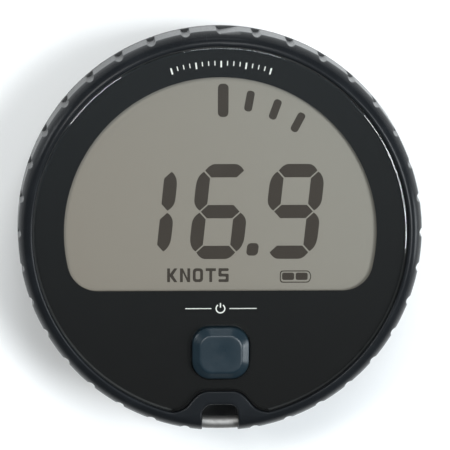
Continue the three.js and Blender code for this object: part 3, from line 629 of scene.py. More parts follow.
def carve(piece, tools, operation="DIFFERENCE"):
    """Cuts the tools out of a piece, or joins them on, and removes the tools."""
    for tool in tools:
        modifier = piece.modifiers.new("carve", "BOOLEAN")
        modifier.operation = operation
        modifier.solver = "EXACT"
        modifier.object = tool
    depsgraph = bpy.context.evaluated_depsgraph_get()
    mesh = bpy.data.meshes.new_from_object(piece.evaluated_get(depsgraph))
    piece.modifiers.clear()
    piece.data = mesh
    for tool in tools:
        bpy.data.objects.remove(tool)
    return piece


def finished(piece, material, body, replaced=(), smooth=SMOOTH_ANGLE):
    """Shades, paints and mounts a piece, and hides the solids it stands for."""
    mesh = piece.data
    mesh.materials.clear()
    mesh.materials.append(material)
    mesh.shade_smooth()
    mesh.set_sharp_from_angle(angle=smooth)
    flat = piece.modifiers.new("flat_faces_stay_flat", "WEIGHTED_NORMAL")
    flat.keep_sharp = True
    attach(piece, body)
    if replaced:
        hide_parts(*replaced)
    print(piece.name, len(mesh.polygons), "faces on", body)
    return piece


# %% [markdown]
# ## The rubber ring
#
# The ring is the puck's bumper. Its side wall is nearly upright, a crisp edge at 32.2 mm turns
# into a slanted shoulder, and a rounded lip meets the lens. Thirty-six upright flutes are pressed
# into the outside for grip. At the bottom the lip runs inwards as a tongue that frames the
# lanyard slot, cut right through.
#
# The skin is one grid. Each column stands at an angle, closer together at the flutes and on the
# tongue's flanks. Each outer point is pulled in to the flute's cylinder by a smooth minimum, which
# rounds the flute's edges the way a mould does. The inner points follow the tongue's outline.

# %% Ring section and tongue outline
RING_BOTTOM = 21.3
RING_BORE = 50.5
RING_LIP = 49.5
RING_LIP_UNDER = 33.1
CREST_RADIUS = 50.2
CREST_Z = 36.0
EDGE_RADIUS = 53.42
EDGE_Z = 32.2
SHOULDER_PULL = (52.3, 35.6)
CASE_RADIUS = 54.0
FLUTE_CENTRE = 54.1
FLUTE_RADIUS = 1.4
FLUTE_PITCH = 10
WALL_DRAFT = (CASE_RADIUS - EDGE_RADIUS) / (EDGE_Z - RING_BOTTOM)
TONGUE_TIP_DROP = 0.4
TONGUE_LENGTH = 8.4


def quadratic(start, control, end, count):
    points = []
    for i in range(1, count + 1):
        t = i / count
        points.append(tuple(
            (1 - t) ** 2 * a + 2 * t * (1 - t) * b + t ** 2 * c
            for a, b, c in zip(start, control, end)))
    return points


def tongue_half(inset):
    """The right half of the tongue's outline, from its middle out to the lens's edge."""
    points = [
        (0, -41.8), (3.2, -41.8),
        *quadratic((3.2, -41.8), (5.6, -41.8), (7.4, -43.9), 10),
        (8.2, -44.85), (9, -45.8),
        *quadratic((9, -45.8), (10.3, -47.2), (12.9, -47.45), 10),
    ]
    return [(x - inset, y - inset) if x else (0, y - inset) for x, y in points]


lip_curve = sorted(
    (math.degrees(math.atan2(x, -y)), math.hypot(x, y)) for x, y in tongue_half(0.3))
lip_curve.append((lip_curve[-1][0] + 1.2, RING_LIP))


def lip_radius(off_bottom):
    """The ring's inner edge at an angle from straight down: the tongue's outline, or the lip."""
    off = abs(off_bottom)
    if off >= lip_curve[-1][0]:
        return RING_LIP
    for (a, ra), (b, rb) in zip(lip_curve, lip_curve[1:]):
        if off <= b:
            return ra + (rb - ra) * (off - a) / (b - a)
    return RING_LIP


def shoulder_point(t):
    """A point of the shoulder's curve, from its crisp edge at 0 to the crest at 1."""
    corners = ((EDGE_RADIUS, EDGE_Z), SHOULDER_PULL, (CREST_RADIUS, CREST_Z))
    weights = ((1 - t) ** 2, 2 * t * (1 - t), t ** 2)
    return tuple(sum(w * corner[axis] for w, corner in zip(weights, corners)) for axis in (0, 1))


def top_height(radius):
    """The height of the ring's top surface over a distance from the axis, tongue included."""
    if radius <= CREST_RADIUS:
        return CREST_Z - TONGUE_TIP_DROP * (CREST_RADIUS - radius) / TONGUE_LENGTH
    if radius >= EDGE_RADIUS:
        return EDGE_Z - 3 * (radius - EDGE_RADIUS)
    low, high = 0.0, 1.0
    for _ in range(24):
        middle = (low + high) / 2
        if shoulder_point(middle)[0] > radius:
            low = middle
        else:
            high = middle
    return shoulder_point(low)[1]


print("tongue reaches in to", round(lip_radius(0), 2), "mm, lip at", lip_radius(90), "mm")

# %% Ring skin
SOFTNESS = 0.16


def smooth_minimum(a, b, softness):
    blend = max(softness - abs(a - b), 0) / softness
    return min(a, b) - blend * blend * softness / 4


def flute_limit(off_flute, z):
    """How far out the rubber may reach at an angle from a flute's middle, at a height."""
    centre = FLUTE_CENTRE + WALL_DRAFT * (EDGE_Z - z)
    angle = math.radians(off_flute)
    side = centre * math.sin(angle)
    if abs(side) >= FLUTE_RADIUS:
        return CASE_RADIUS + 1
    return centre * math.cos(angle) - math.sqrt(FLUTE_RADIUS ** 2 - side ** 2)


def ring_columns():
    """Angles from straight down, closer together at the flutes and on the tongue."""
    near_flute = [0.0, 0.3, 0.6, 0.85, 1.05, 1.2, 1.3, 1.37, 1.42, 1.46, 1.5, 1.6, 1.8, 2.3, 3.1, 4.0]
    angles = set()
    for flute in range(-180, 180, FLUTE_PITCH):
        for off in near_flute:
            angles.add(round(flute + off, 3))
            angles.add(round(flute - off, 3))
        angles.add(round(flute + FLUTE_PITCH / 2, 3))
    for i in range(-160, 161):
        angles.add(round(i * 0.1 + 0.05, 3))
    return sorted(a for a in angles if -180 <= a < 180)


def around(off_bottom, radius):
    """A place at an angle from straight down, turning towards +X."""
    angle = math.radians(off_bottom)
    return (radius * math.sin(angle), -radius * math.cos(angle))


LIP_ROUNDING = [
    (0.0, 1.6), (0.0, 0.5), (0.02, 0.36), (0.07, 0.22), (0.14, 0.12), (0.23, 0.05), (0.34, 0.015),
    (0.5, 0.0),
]
shoulder_rows = [shoulder_point(t) for t in (
    1.0, 0.93, 0.86, 0.79, 0.72, 0.65, 0.58, 0.51, 0.45, 0.39, 0.34, 0.29, 0.24, 0.19, 0.14, 0.1)]
edge_rows = quadratic(shoulder_point(0.07), (EDGE_RADIUS, EDGE_Z), (EDGE_RADIUS + 0.02, EDGE_Z - 0.25), 4)
wall_rows = [
    (EDGE_RADIUS + (CASE_RADIUS - EDGE_RADIUS) * f, EDGE_Z - (EDGE_Z - RING_BOTTOM) * f)
    for f in (0.06, 0.15, 0.3, 0.5, 0.7, 0.85, 0.95)
]
foot_rows = [
    (CASE_RADIUS - 0.01, RING_BOTTOM + 0.3), (CASE_RADIUS - 0.1, RING_BOTTOM + 0.08),
    (CASE_RADIUS - 0.32, RING_BOTTOM),
]
outer_rows = shoulder_rows + edge_rows + wall_rows + foot_rows


def ring_skin():
    angles = ring_columns()
    inner_edge = [around(a, lip_radius(a)) for a in angles]
    columns = []
    for k, angle in enumerate(angles):
        before = Vector(inner_edge[k - 1])
        after = Vector(inner_edge[(k + 1) % len(angles)])
        inner = Vector(inner_edge[k])
        along = (after - before).normalized()
        outwards = Vector((along.y, -along.x))
        column = [(*inner, RING_LIP_UNDER)]
        for out, down in LIP_ROUNDING:
            place = inner + outwards * out
            column.append((*place, top_height(place.length) - down))
        last = Vector(column[-1][:2])
        crest = Vector(around(angle, CREST_RADIUS))
        for share in (0.25, 0.5, 0.75):
            place = last.lerp(crest, share)
            column.append((*place, top_height(place.length)))
        off_flute = (angle + FLUTE_PITCH / 2) % FLUTE_PITCH - FLUTE_PITCH / 2
        for radius, z in outer_rows:
            limit = flute_limit(off_flute, z)
            column.append((*around(angle, smooth_minimum(radius, limit, SOFTNESS)), z))
        column.append((*around(angle, RING_BORE), RING_BOTTOM))
        column.append((*around(angle, RING_BORE), RING_LIP_UNDER))
        columns.append(column)
    rows = [list(row) for row in zip(*columns)]
    return grid("ring_skin", rows, loop_rows=True)


ring = ring_skin()
print("ring skin:", len(ring.data.polygons), "faces")

# %% [markdown]
# The slot is cut with a tool whose mouth flares along the ring's own top surface, so the cut edge
# gets an even fillet. The steel bar's sockets are cut with the bar's own path, a little fatter.

# %% Slot, sockets and the steel bar
SLOT_HALF = 4.8
SLOT_INNER_Y = -45.7
SLOT_CORNER = 2.6
SLOT_FLOOR = 18.9
SLOT_SIDE_Y = (-60.0, -54.5, -53.9, -53.4, -52.8, -52.0, -51.2, -50.4, -49.4)
SLOT_FLARE = ((0, 0.6), (0.03, 0.38), (0.1, 0.22), (0.2, 0.11), (0.34, 0.035), (0.55, -0.02))
SOCKET_SLACK = 0.1
BAR_ARC = 51.6
BAR_RADIUS = 1.65
BAR_HALF = 5.6
BAR_Z = 30.3


def slot_outline(grow):
    """The slot's outline from above, open past the rim, grown by a distance."""
    half = SLOT_HALF + grow
    corner = SLOT_CORNER + grow * 0.5
    inner = SLOT_INNER_Y + grow
    sides = [(half, y) for y in SLOT_SIDE_Y]
    left = [(-x, y) for x, y in reversed(sides)]
    return [
        *sides,
        *arc((half - corner, inner - corner), corner, 0, 90, 10),
        *arc((corner - half, inner - corner), corner, 90, 180, 10),
        *left,
    ]


def slot_tool():
    """The slot's cutter. Its mouth opens by half a millimetre along the ring's top surface."""
    layers = [[(x, y, SLOT_FLOOR) for x, y in slot_outline(0)]]
    for grow, down in SLOT_FLARE:
        outline = slot_outline(grow)
        layers.append([(x, y, top_height(math.hypot(x, y)) - down) for x, y in outline])
    layers.append([(x, y, CREST_Z + 6) for x, y in outline])
    return grid("slot_tool", layers)


def bent_rod(name, radius, half_length, sides=40, steps=32, rounding=0.0):
    """A rod along the rim's curve. Rounding turns its ends in, for the bar itself."""
    sweep = math.degrees(half_length / BAR_ARC)
    stations = [(-1 + 2 * i / steps, 1.0) for i in range(steps + 1)]
    if rounding:
        cap = [(0.0, 1 - rounding / radius), (rounding * 0.5, 1 - rounding * 0.25 / radius)]
        ends = [(-1 + along / half_length, share) for along, share in cap]
        stations = ends + stations[1:-1] + [(-t, share) for t, share in reversed(ends)]
    rows = []
    for t, share in stations:
        row = []
        for k in range(sides):
            dr, dz = polar(radius * share, 360 * k / sides)
            row.append((*around(t * sweep, BAR_ARC + dr), BAR_Z + dz))
        rows.append(row)
    return grid(name, rows)


carve(ring, [slot_tool(), bent_rod("socket_tool", BAR_RADIUS + SOCKET_SLACK, BAR_HALF + SOCKET_SLACK)])
ring.name = "grip_ring"
finished(ring, ring_rubber, "case", ["bumper_ring"])
bar = bent_rod("tie_bar", BAR_RADIUS, BAR_HALF, rounding=0.3)
finished(bar, bar_steel, "case", ["lanyard_bar"])

# %% [markdown]
# ## Lens, border print and marks
#
# The lens drops into the ring flush with its lip, half a millimetre below the crest. Its edge is
# polished to a small round, which draws a bright line where the soft boxes fall on it. The border
# is printed on its back, with a window for the display and clearances for the button and tongue. A
# black band rises from it up the notch's edge: painted shade, which gives the tongue a dark outline.

# %% Lens and border
LENS_RADIUS = 49.2
LENS_FRONT = 35.5
LENS_BACK = 33.5
LENS_EDGE = [
    (LENS_RADIUS, LENS_BACK), (LENS_RADIUS, 35.35), (49.16, 35.4), (49.05, 35.44), (48.92, 35.472),
    (48.76, 35.493), (48.6, LENS_FRONT),
]
MASK_TOP = 33.4
MASK_BOTTOM = 33.15
MASK_RADIUS = 49.0
WINDOW_RADIUS = 41.3
WINDOW_BASE_Y = -15.4
WINDOW_CORNER = 8
# Insets from the notch's edge of the black band of painted shade.
NOTCH_SHADE_FROM = 0.01
NOTCH_SHADE_TO = 0.12
BUTTON_WIDTH = 15.1
BUTTON_DEPTH = 13.8
BUTTON_CORNER = 4.8
BUTTON_CLEARANCE = 0.35


def both_sides(half):
    """A half outline that starts on the middle line, with its mirrored half joined on."""
    return [*half, *[(-x, y) for x, y in reversed(half[1:])]]


def notched_disc(radius):
    """A circle with the tongue's notch taken out of its lower edge."""
    half = [p for p in tongue_half(0) if math.hypot(*p) < radius - 0.02]
    meet = math.degrees(math.atan2(half[-1][0], -half[-1][1])) + 0.2
    rim = [around(a, radius) for a in (meet + (360 - 2 * meet) * i / 300 for i in range(301))]
    left = [(-x, y) for x, y in half[1:]]
    return [*half, *rim, *reversed(left)]


def notch_edge(inset):
    """The notch's edge from left to right, drawn in towards the tongue."""
    half = tongue_half(inset)
    return [*[(-x, y) for x, y in reversed(half[1:])], *half]


def button_outline(grow):
    """The button's rounded square, grown by a distance."""
    width = BUTTON_WIDTH + 2 * grow
    depth = BUTTON_DEPTH + 2 * grow
    return rounded_rectangle(width, depth, BUTTON_CORNER + grow, (0, BUTTON_Y))


button_hole = button_outline(BUTTON_CLEARANCE)
half_notch = tongue_half(0)
half_notch.append((half_notch[-1][0], -LENS_RADIUS - 3))
lens = turned("lens", [(0, LENS_BACK), *LENS_EDGE, (0, LENS_FRONT)], segments=360)
lens_cuts = [
    slab("hole_tool", [button_hole], LENS_BACK - 1, LENS_FRONT + 1),
    slab("notch_tool", [both_sides(half_notch)], LENS_BACK - 1, LENS_FRONT + 1),
]
carve(lens, lens_cuts)
finished(lens, clear_lens, "case", ["front_lens"])
window = display_outline(WINDOW_RADIUS, WINDOW_BASE_Y, WINDOW_CORNER)
border = slab("border_print", [notched_disc(MASK_RADIUS), window, button_hole], MASK_BOTTOM, MASK_TOP)
# The band up the notch's edge is painted shade: black print that stands in for the dark outline round the
# tongue.
painted_shade_band = [*notch_edge(NOTCH_SHADE_FROM), *reversed(notch_edge(NOTCH_SHADE_TO))]
carve(border, [slab("painted_notch_shade", [painted_shade_band], MASK_BOTTOM, LENS_FRONT - 0.05)], "UNION")
finished(border, black_print, "case", ["window_mask"])

# %% [markdown]
# The white marks are generic: an arc of fine ticks over the display, like a dial's, and a power
# symbol between two thin lines over the button. They are printed 0.03 mm thick behind the lens.

# %% White marks
PRINT_BASE = 0.005
PRINT_TOP = 0.035
TICKS_EACH_SIDE = 8
TICK_STEP = 2.1
TICK_OUTER = 45.6
TALL_TICK = (43.9, 0.42)
SHORT_TICK = (44.4, 0.26)
SYMBOL_Y = -20.15
SYMBOL_RADIUS = 1.15
SYMBOL_PEN = 0.32
LINE_PEN = 0.22


def strip(start, end, width):
    """A thin straight bar between two points."""
    a = Vector(start)
    b = Vector(end)
    side = (b - a).normalized().orthogonal() * (width / 2)
    return [tuple(a + side), tuple(a - side), tuple(b - side), tuple(b + side)]


def ring_arc(centre, radius, width, start, end):
    """An open band along an arc, with square ends."""
    outer = arc(centre, radius + width / 2, start, end, 8)
    inner = arc(centre, radius - width / 2, start, end, 8)
    return outer + inner[::-1]


def tick_marks():
    """Fine ticks on an arc over the window, every fourth one taller and bolder."""
    ticks = []
    for i in range(-TICKS_EACH_SIDE, TICKS_EACH_SIDE + 1):
        inner, width = SHORT_TICK if i % 4 else TALL_TICK
        angle = 90 + i * TICK_STEP
        ticks.append(strip(polar(inner, angle), polar(TICK_OUTER, angle), width))
    return ticks


power_symbol = [
    ring_arc((0, SYMBOL_Y), SYMBOL_RADIUS, SYMBOL_PEN, 125, 415),
    strip((0, SYMBOL_Y + 0.25), (0, SYMBOL_Y + 1.5), SYMBOL_PEN),
    strip((-9.3, SYMBOL_Y), (-2.4, SYMBOL_Y), LINE_PEN),
    strip((2.4, SYMBOL_Y), (9.6, SYMBOL_Y), LINE_PEN),
]
marks = slab("white_marks", tick_marks() + power_symbol, MASK_TOP + PRINT_BASE, MASK_TOP + PRINT_TOP)
finished(marks, white_print, "case")

# %% [markdown]
# ## What the display shows
#
# Segments of a liquid crystal display are shapes etched in its clear electrodes. Each digit has
# seven, slanted by six degrees, with pointed ends that leave thin gaps, and the outer corners are
# eased into curves. The shapes come from the digit's six corner nodes. A rounded decimal point, a
# unit label, a battery symbol and four bars that fan out at the top complete the picture. The
# whole is a film 0.03 mm thick on the display's face.

# %% Digit segments
DIGIT_MIDDLE_Y = 5.6
NODE_X = 5.4
NODE_Y = 10.9
STROKE = 3.55
HALF_STROKE = STROKE / 2
SEGMENT_TIP = 0.28
CORNER_EASE = 2.85
UPRIGHT_EASE_OUT = 4.3
UPRIGHT_EASE_IN = 3.4
SLANT = math.tan(math.radians(6))
LCD_TOP = 32.0
DIGITS = [(-19.45, "bc"), (-0.1, "acdefg"), (19.3, "abcdfg")]


def eased_end(outer_reach):
    """Half of a pointed end as (along, across) points, from the tip to the outer edge."""
    tip = (SEGMENT_TIP, 0)
    if outer_reach == HALF_STROKE:
        return [tip, (SEGMENT_TIP + HALF_STROKE, HALF_STROKE)]
    pull = (SEGMENT_TIP + HALF_STROKE * 0.62, HALF_STROKE * 0.98)
    return [tip, *quadratic(tip, pull, (outer_reach, HALF_STROKE), 8)]


def segment(length, start_reach, end_reach):
    """A segment along +X from (0, 0), its outer edge on the +Y side."""
    start = eased_end(start_reach)
    end = [(length - along, across) for along, across in eased_end(end_reach)]
    point = SEGMENT_TIP + HALF_STROKE
    inner = [(length - point, -HALF_STROKE), (point, -HALF_STROKE)]
    return start + end[::-1] + inner


def placed(shape, origin, along, outward):
    """Lays a segment out from a node, along one direction with its outer edge to another."""
    return [
        (origin[0] + along[0] * u + outward[0] * v, origin[1] + along[1] * u + outward[1] * v)
        for u, v in shape
    ]


def digit_segments():
    flat = segment(2 * NODE_X, CORNER_EASE, CORNER_EASE)
    middle = segment(2 * NODE_X, HALF_STROKE, HALF_STROKE)
    upright = segment(NODE_Y, UPRIGHT_EASE_OUT, UPRIGHT_EASE_IN)
    flipped = segment(NODE_Y, UPRIGHT_EASE_IN, UPRIGHT_EASE_OUT)
    return {
        "a": placed(flat, (-NODE_X, NODE_Y), (1, 0), (0, 1)),
        "b": placed(upright, (NODE_X, NODE_Y), (0, -1), (1, 0)),
        "c": placed(flipped, (NODE_X, 0), (0, -1), (1, 0)),
        "d": placed(flat, (-NODE_X, -NODE_Y), (1, 0), (0, -1)),
        "e": placed(flipped, (-NODE_X, 0), (0, -1), (-1, 0)),
        "f": placed(upright, (-NODE_X, NODE_Y), (0, -1), (-1, 0)),
        "g": placed(middle, (-NODE_X, 0), (1, 0), (0, 1)),
    }


def slanted(outline, centre_x):
    return [(centre_x + x + y * SLANT, DIGIT_MIDDLE_Y + y) for x, y in outline]


shown = []
for centre_x, lit in DIGITS:
    shapes = digit_segments()
    shown += [slanted(shapes[letter], centre_x) for letter in lit]
POINT_X = 8.5
POINT_Y = -4.5
point_shape = rounded_rectangle(3.1, 3.35, 1.1)
shown.append([(POINT_X + x + y * SLANT, POINT_Y + y) for x, y in point_shape])
print("lit segments and point:", len(shown))

# %% Label, battery symbol and fan of bars
def filleted(points, radius):
    """A polygon with each corner turned into a short curve."""
    made = []
    for k, corner in enumerate(points):
        here = Vector(corner)
        before = Vector(points[k - 1]) - here
        after = Vector(points[(k + 1) % len(points)]) - here
        cut = min(radius, before.length * 0.45, after.length * 0.45)
        start = here + before.normalized() * cut
        end = here + after.normalized() * cut
        made += [tuple(start), *quadratic(tuple(start), tuple(here), tuple(end), 4)]
    return made


LETTER_W = 2.7
LETTER_H = 3.7
LETTER_PITCH = 3.4
PEN = 0.75
LABEL_LEFT = -14.1
LABEL_BASE = -13.25


def letter_outlines():
    """Five squarish letters, each one outline, with a second one for the hole in the O."""
    w, h, s = LETTER_W, LETTER_H, PEN
    m = h / 2
    letter_k = [
        (0, 0), (0, h), (s, h), (s, m + s * 0.5), (w - s * 1.1, h), (w, h), (w * 0.56, m),
        (w, 0), (w - s * 1.1, 0), (s, m - s * 0.5), (s, 0),
    ]
    letter_n = [
        (0, 0), (0, h), (s, h), (w - s, s * 1.5), (w - s, h), (w, h), (w, 0), (w - s, 0),
        (s, h - s * 1.5), (s, 0),
    ]
    letter_t = [
        (0, h), (w, h), (w, h - s), (w / 2 + s / 2, h - s), (w / 2 + s / 2, 0),
        (w / 2 - s / 2, 0), (w / 2 - s / 2, h - s), (0, h - s),
    ]
    letter_s = [
        (w, h), (0, h), (0, m - s / 2), (w - s, m - s / 2), (w - s, s), (0, s), (0, 0), (w, 0),
        (w, m + s / 2), (s, m + s / 2), (s, h - s), (w, h - s),
    ]
    letter_o = rounded_rectangle(w, h, 0.9, (w / 2, m), 15)
    hole = rounded_rectangle(w - 2 * s, h - 2 * s, 0.35, (w / 2, m), 15)
    return [
        [filleted(letter_k, 0.12)], [filleted(letter_n, 0.15)], [letter_o, hole],
        [filleted(letter_t, 0.15)], [filleted(letter_s, 0.32)],
    ]


for k, outlines in enumerate(letter_outlines()):
    left = LABEL_LEFT + k * LETTER_PITCH
    shown += [[(left + x, LABEL_BASE + y) for x, y in outline] for outline in outlines]

BATTERY_Y = -11.85


def battery_outline(left, right, nose, half_height, radius):
    """A long box with a blunt nose at its right end."""
    top = BATTERY_Y + half_height
    base = BATTERY_Y - half_height
    corners = [(left, top), (right, top), (nose, BATTERY_Y), (right, base), (left, base)]
    return filleted(corners, radius)


shown.append(battery_outline(15.8, 23.6, 24.3, 1.65, 0.9))
shown.append(battery_outline(16.07, 23.45, 24.0, 1.38, 0.75))
shown += [rounded_rectangle(3.2, 1.95, 0.5, (x, -11.78), 15) for x in (18.0, 21.6)]

# Each bar of the fan: its middle, its width and length, and its lean to the right in degrees.
FAN = [
    (0.6, 35.1, 2.8, 8.8, 0), (7.5, 34.9, 2.1, 5.5, 10), (14.3, 32.7, 2.1, 5.5, 20),
    (20.3, 29.3, 2.1, 5.5, 28),
]
for x, y, width, length, lean in FAN:
    turn = math.radians(-lean)
    bar_shape = rounded_rectangle(width, length, width * 0.42, (0, 0), 15)
    shown.append([
        (x + u * math.cos(turn) - v * math.sin(turn), y + u * math.sin(turn) + v * math.cos(turn))
        for u, v in bar_shape
    ])
segments = slab("lcd_segments", shown, LCD_TOP + PRINT_BASE, LCD_TOP + PRINT_TOP)
finished(segments, segment_ink, "case")

# %% [markdown]
# ## The button
#
# The cap is a rounded square. It stands 2.5 mm out of the lens, its sides slope in as a broad
# chamfer, and its top is dished a little for a fingertip. It is lofted through many copies of one
# outline, drawn in a little more at each step up, and the top closes to its middle in rings so
# that the dish is smooth.

# %% Button cap
CAP_TOP = 38.0
CAP_BOTTOM = 30.1
CAP_LIP_TOP = 30.9
CAP_LIP_REACH = 1.0
DISH_DEPTH = 0.1
CAP_SIDE = [
    (0.0, 35.2), (0.0, 35.95), (0.05, 36.18), (0.17, 36.4), (0.34, 36.59), (0.75, 36.95), (1.2, 37.35),
    (1.62, 37.72), (1.78, 37.85), (1.94, 37.94), (2.15, CAP_TOP),
]


def cap_row(inset, z):
    width = BUTTON_WIDTH - 2 * inset
    depth = BUTTON_DEPTH - 2 * inset
    corner = max(BUTTON_CORNER - inset * 0.75, 0.05)
    return [(x, y, z) for x, y in rounded_rectangle(width, depth, corner, (0, BUTTON_Y))]


def dished_rows():
    rim = cap_row(CAP_SIDE[-1][0], CAP_TOP)
    rows = []
    for share in (0.93, 0.84, 0.72, 0.58, 0.42, 0.26, 0.1, 0.0):
        drop = DISH_DEPTH * (0.5 + 0.5 * math.cos(math.pi * share))
        z = CAP_TOP - drop
        rows.append([(x * share, BUTTON_Y + (y - BUTTON_Y) * share, z) for x, y, _ in rim])
    return rows


lip = [(-CAP_LIP_REACH, CAP_BOTTOM), (-CAP_LIP_REACH, CAP_LIP_TOP), (0, CAP_LIP_TOP)]
cap_rows = [cap_row(inset, z) for inset, z in lip + CAP_SIDE]
cap = grid("push_cap", cap_rows + dished_rows())
groove = slab("groove_tool", [button_outline(4), button_outline(-0.85)], 31.45, 32.55)
hollow = slab("hollow_tool", [button_outline(-2)], 20, LENS_FRONT)
carve(cap, [groove, hollow])
stem = turned("stem_tool", [(0, 32.0), (2.4, 32.0), (2.4, 36.0), (0, 36.0)], (0, BUTTON_Y), 32)
carve(cap, [stem], "UNION")
finished(cap, button_blue, "mode_button", ["button_cap"])

# %% [markdown]
# ## The rear housing
#
# The back is a shallow bowl: a flat that the puck lies on, a flank that widens to the rim, and a
# rounded heel between them. A recess takes the battery door, with a bay for two cells behind it.
# Six screws from the back hold the housings together, each at the bottom of a round well.

# %% Rear housing
HOUSING_TOP = 21.2
DOOR_SEAT_Z = 3.4
DOOR_SCREW_X = 35.2
BAY_WIDTH = 59.2
BAY_DEPTH = 31.6
BAY_TOP = 19.1
BAY_WALL = 1.5
WELL_RADIUS = 2.5
WELL_TOP = 5.0
case_screw_places = [polar(39.5, a) for a in (40, 90, 140, 220, 270, 320)]
door_screw_places = [(-DOOR_SCREW_X, 0), (DOOR_SCREW_X, 0)]
OUTSIDE = [
    (0, 0), (43.0, 0), (43.5, 0.06), (44.0, 0.24), (44.4, 0.5), (44.75, 0.9), (45.05, 1.45),
    (49.1, 8.9), (53.1, 16.25), (53.35, 16.8), (53.6, 17.45), (53.82, 18.1), (53.95, 18.75),
    (54.0, 19.4), (54.0, 20.9), (53.92, 21.12), (53.75, HOUSING_TOP),
]
INSIDE = [(42.4, HOUSING_TOP), (42.4, 18.4), (50.6, 17.2), (42.6, 2.4), (0, 2.4)]
WELL_MOUTH = [(0, -1), (3.9, -1), (WELL_RADIUS, 0.45), (0, 0.45)]


def pillar(radius, bottom, top, place, segments=32):
    return turned("pillar", [(0, bottom), (radius, bottom), (radius, top), (0, top)], place, segments)


def door_outline(grow):
    """The outline of the door's recess, grown by a distance."""
    return rounded_rectangle(80 + 2 * grow, 38 + 2 * grow, 12 + grow)


def bay_block(grow, bottom, top):
    """A block that fills the cells' bay, grown by a distance."""
    outline = rounded_rectangle(BAY_WIDTH + 2 * grow, BAY_DEPTH + 2 * grow, 0.6, (0, 0), 15)
    return slab("bay_block", [outline], bottom, top)


shell = turned("rear_housing", OUTSIDE + INSIDE, segments=240)
joins = [
    slab("seat", [door_outline(2.2)], 1.0, 5.6),
    bay_block(BAY_WALL, DOOR_SEAT_Z, BAY_TOP + BAY_WALL),
    *[pillar(3.1, 1.0, HOUSING_TOP, place) for place in case_screw_places],
    *[pillar(4.2, DOOR_SEAT_Z, 10.4, place) for place in door_screw_places],
]
carve(shell, joins, "UNION")
cuts = [
    slab("door_recess", [door_outline(0)], -5, DOOR_SEAT_Z),
    slab("lead_in", [door_outline(0.4)], -0.5, 0.35),
    bay_block(0, -5, BAY_TOP),
    *[pillar(WELL_RADIUS, -5, WELL_TOP, place, 40) for place in case_screw_places],
    *[turned("well_mouth", WELL_MOUTH, place, 40) for place in case_screw_places],
    *[pillar(1.35, 0, 30, place) for place in case_screw_places],
    *[pillar(3.3, 0, 4.2, place) for place in door_screw_places],
    *[pillar(2.65, 0, 9.4, place) for place in door_screw_places],
    *[pillar(0.75, 18.1, 25, (28.35, y), 16) for y in (-12.75, 12.75)],
]
carve(shell, cuts)
carve(shell, [slab("slot_room", [slot_outline(0)], SLOT_FLOOR, 40)])
finished(shell, black_housing, "case", ["back_shell"])

# %% [markdown]
# ## Screws
#
# The case screws have a round head with a six-lobed recess. The door screws have wide, flat,
# knurled heads with a slot for a coin. Threads are cut as a true helix: each column of the shank
# is shifted along by its share of the pitch.

# %% Threads and screw heads
def threaded(name, radius, depth, pitch, bottom, top, place, columns=28):
    """A shank with a helical thread that ends in a short point at its top."""
    rows_per_turn = 8
    count = max(2, round((top - bottom) / pitch * rows_per_turn))
    rows = []
    for k in range(count + 1):
        z = bottom + (top - bottom) * k / count
        row = []
        for c in range(columns):
            turn = c / columns
            phase = ((z - bottom) / pitch - turn) % 1
            ridge = 1 - abs(phase * 2 - 1)
            fade = min(1, (top - z) / (pitch * 1.5), (z - bottom) / (pitch * 0.5) + 0.15)
            taper = min(1, 0.55 + 0.45 * (top - z) / (pitch * 1.5))
            r = (radius - depth + depth * ridge * max(fade, 0)) * taper
            row.append((*polar(r, 360 * turn, place), z))
        rows.append(row)
    return grid(name, rows)


def lobed_tool(place, radius, bottom, top, lobes=6, columns=60):
    """A six-lobed driver recess."""
    rows = []
    for z in (bottom, top):
        row = []
        for c in range(columns):
            angle = 360 * c / columns
            r = radius * (0.86 + 0.14 * math.cos(math.radians(angle * lobes)))
            row.append((*polar(r, angle, place), z))
        rows.append(row)
    return grid("lobed_tool", rows)


HEAD_TOP = 4.95
HEAD_PROFILE = [
    (0, 2.75), (1.5, 2.76), (1.95, 2.86), (2.2, 3.1), (2.3, 3.5), (2.3, 4.75), (2.2, HEAD_TOP),
    (0, HEAD_TOP),
]
for k, place in enumerate(case_screw_places):
    head = turned("case_screw_fine_%d" % (k + 1), HEAD_PROFILE, place, 40)
    carve(head, [lobed_tool(place, 1.25, 2.0, 3.95)])
    carve(head, [threaded("shank", 1.2, 0.25, 0.9, HEAD_TOP - 0.8, 27.1, place)], "UNION")
    finished(head, turned_steel, "case", ["case_screw_%d" % (k + 1)])


KNURL_DEPTH = 0.08
# Radius and height up the door screw's head, and how far the knurling stands out there, 0 to 1.
DOOR_HEAD_PROFILE = [
    (0, 0.55, 0), (3.2, 0.55, 0), (3.55, 0.6, 0), (3.75, 0.72, 0.3), (3.82, 0.85, 1), (3.82, 1.65, 1),
    (3.78, 1.85, 0.4), (3.6, 1.95, 0), (0, 1.95, 0),
]


def door_screw_head(name, place):
    """A wide flat head with a knurled side, rounded rims and a coin slot along X."""
    columns = 96
    rows = []
    for r, z, knurl in DOOR_HEAD_PROFILE:
        row = []
        for c in range(columns):
            ridge = KNURL_DEPTH * knurl * (1 if c % 4 in (0, 1) else -1) if r else 0
            row.append((*polar(r + ridge, 360 * c / columns, place), z))
        rows.append(row)
    head = grid(name, rows)
    coin = [(x + place[0], y) for x, y in rounded_rectangle(12, 1.3, 0.3, (0, 0), 15)]
    dish = turned("dish", [(0, 0.2), (1.9, 0.2), (1.3, 0.75), (0, 0.75)], place, 40)
    carve(head, [slab("coin", [coin], -1, 1.35), dish])
    return carve(head, [threaded("shank", 1.5, 0.28, 0.8, 1.6, 9.0, place)], "UNION")


for side, place in zip(("left", "right"), door_screw_places):
    screw = door_screw_head("coin_screw_%s" % side, place)
    finished(screw, turned_steel, "door_screw_%s" % side, ["door_screw_%s" % side])

# %% [markdown]
# ## Battery door
#
# The door is a flat moulding with rounded edges, a counterbore round each screw, a shallow panel
# pressed into the middle, and rows of fine ribs that let a wet finger lift it.

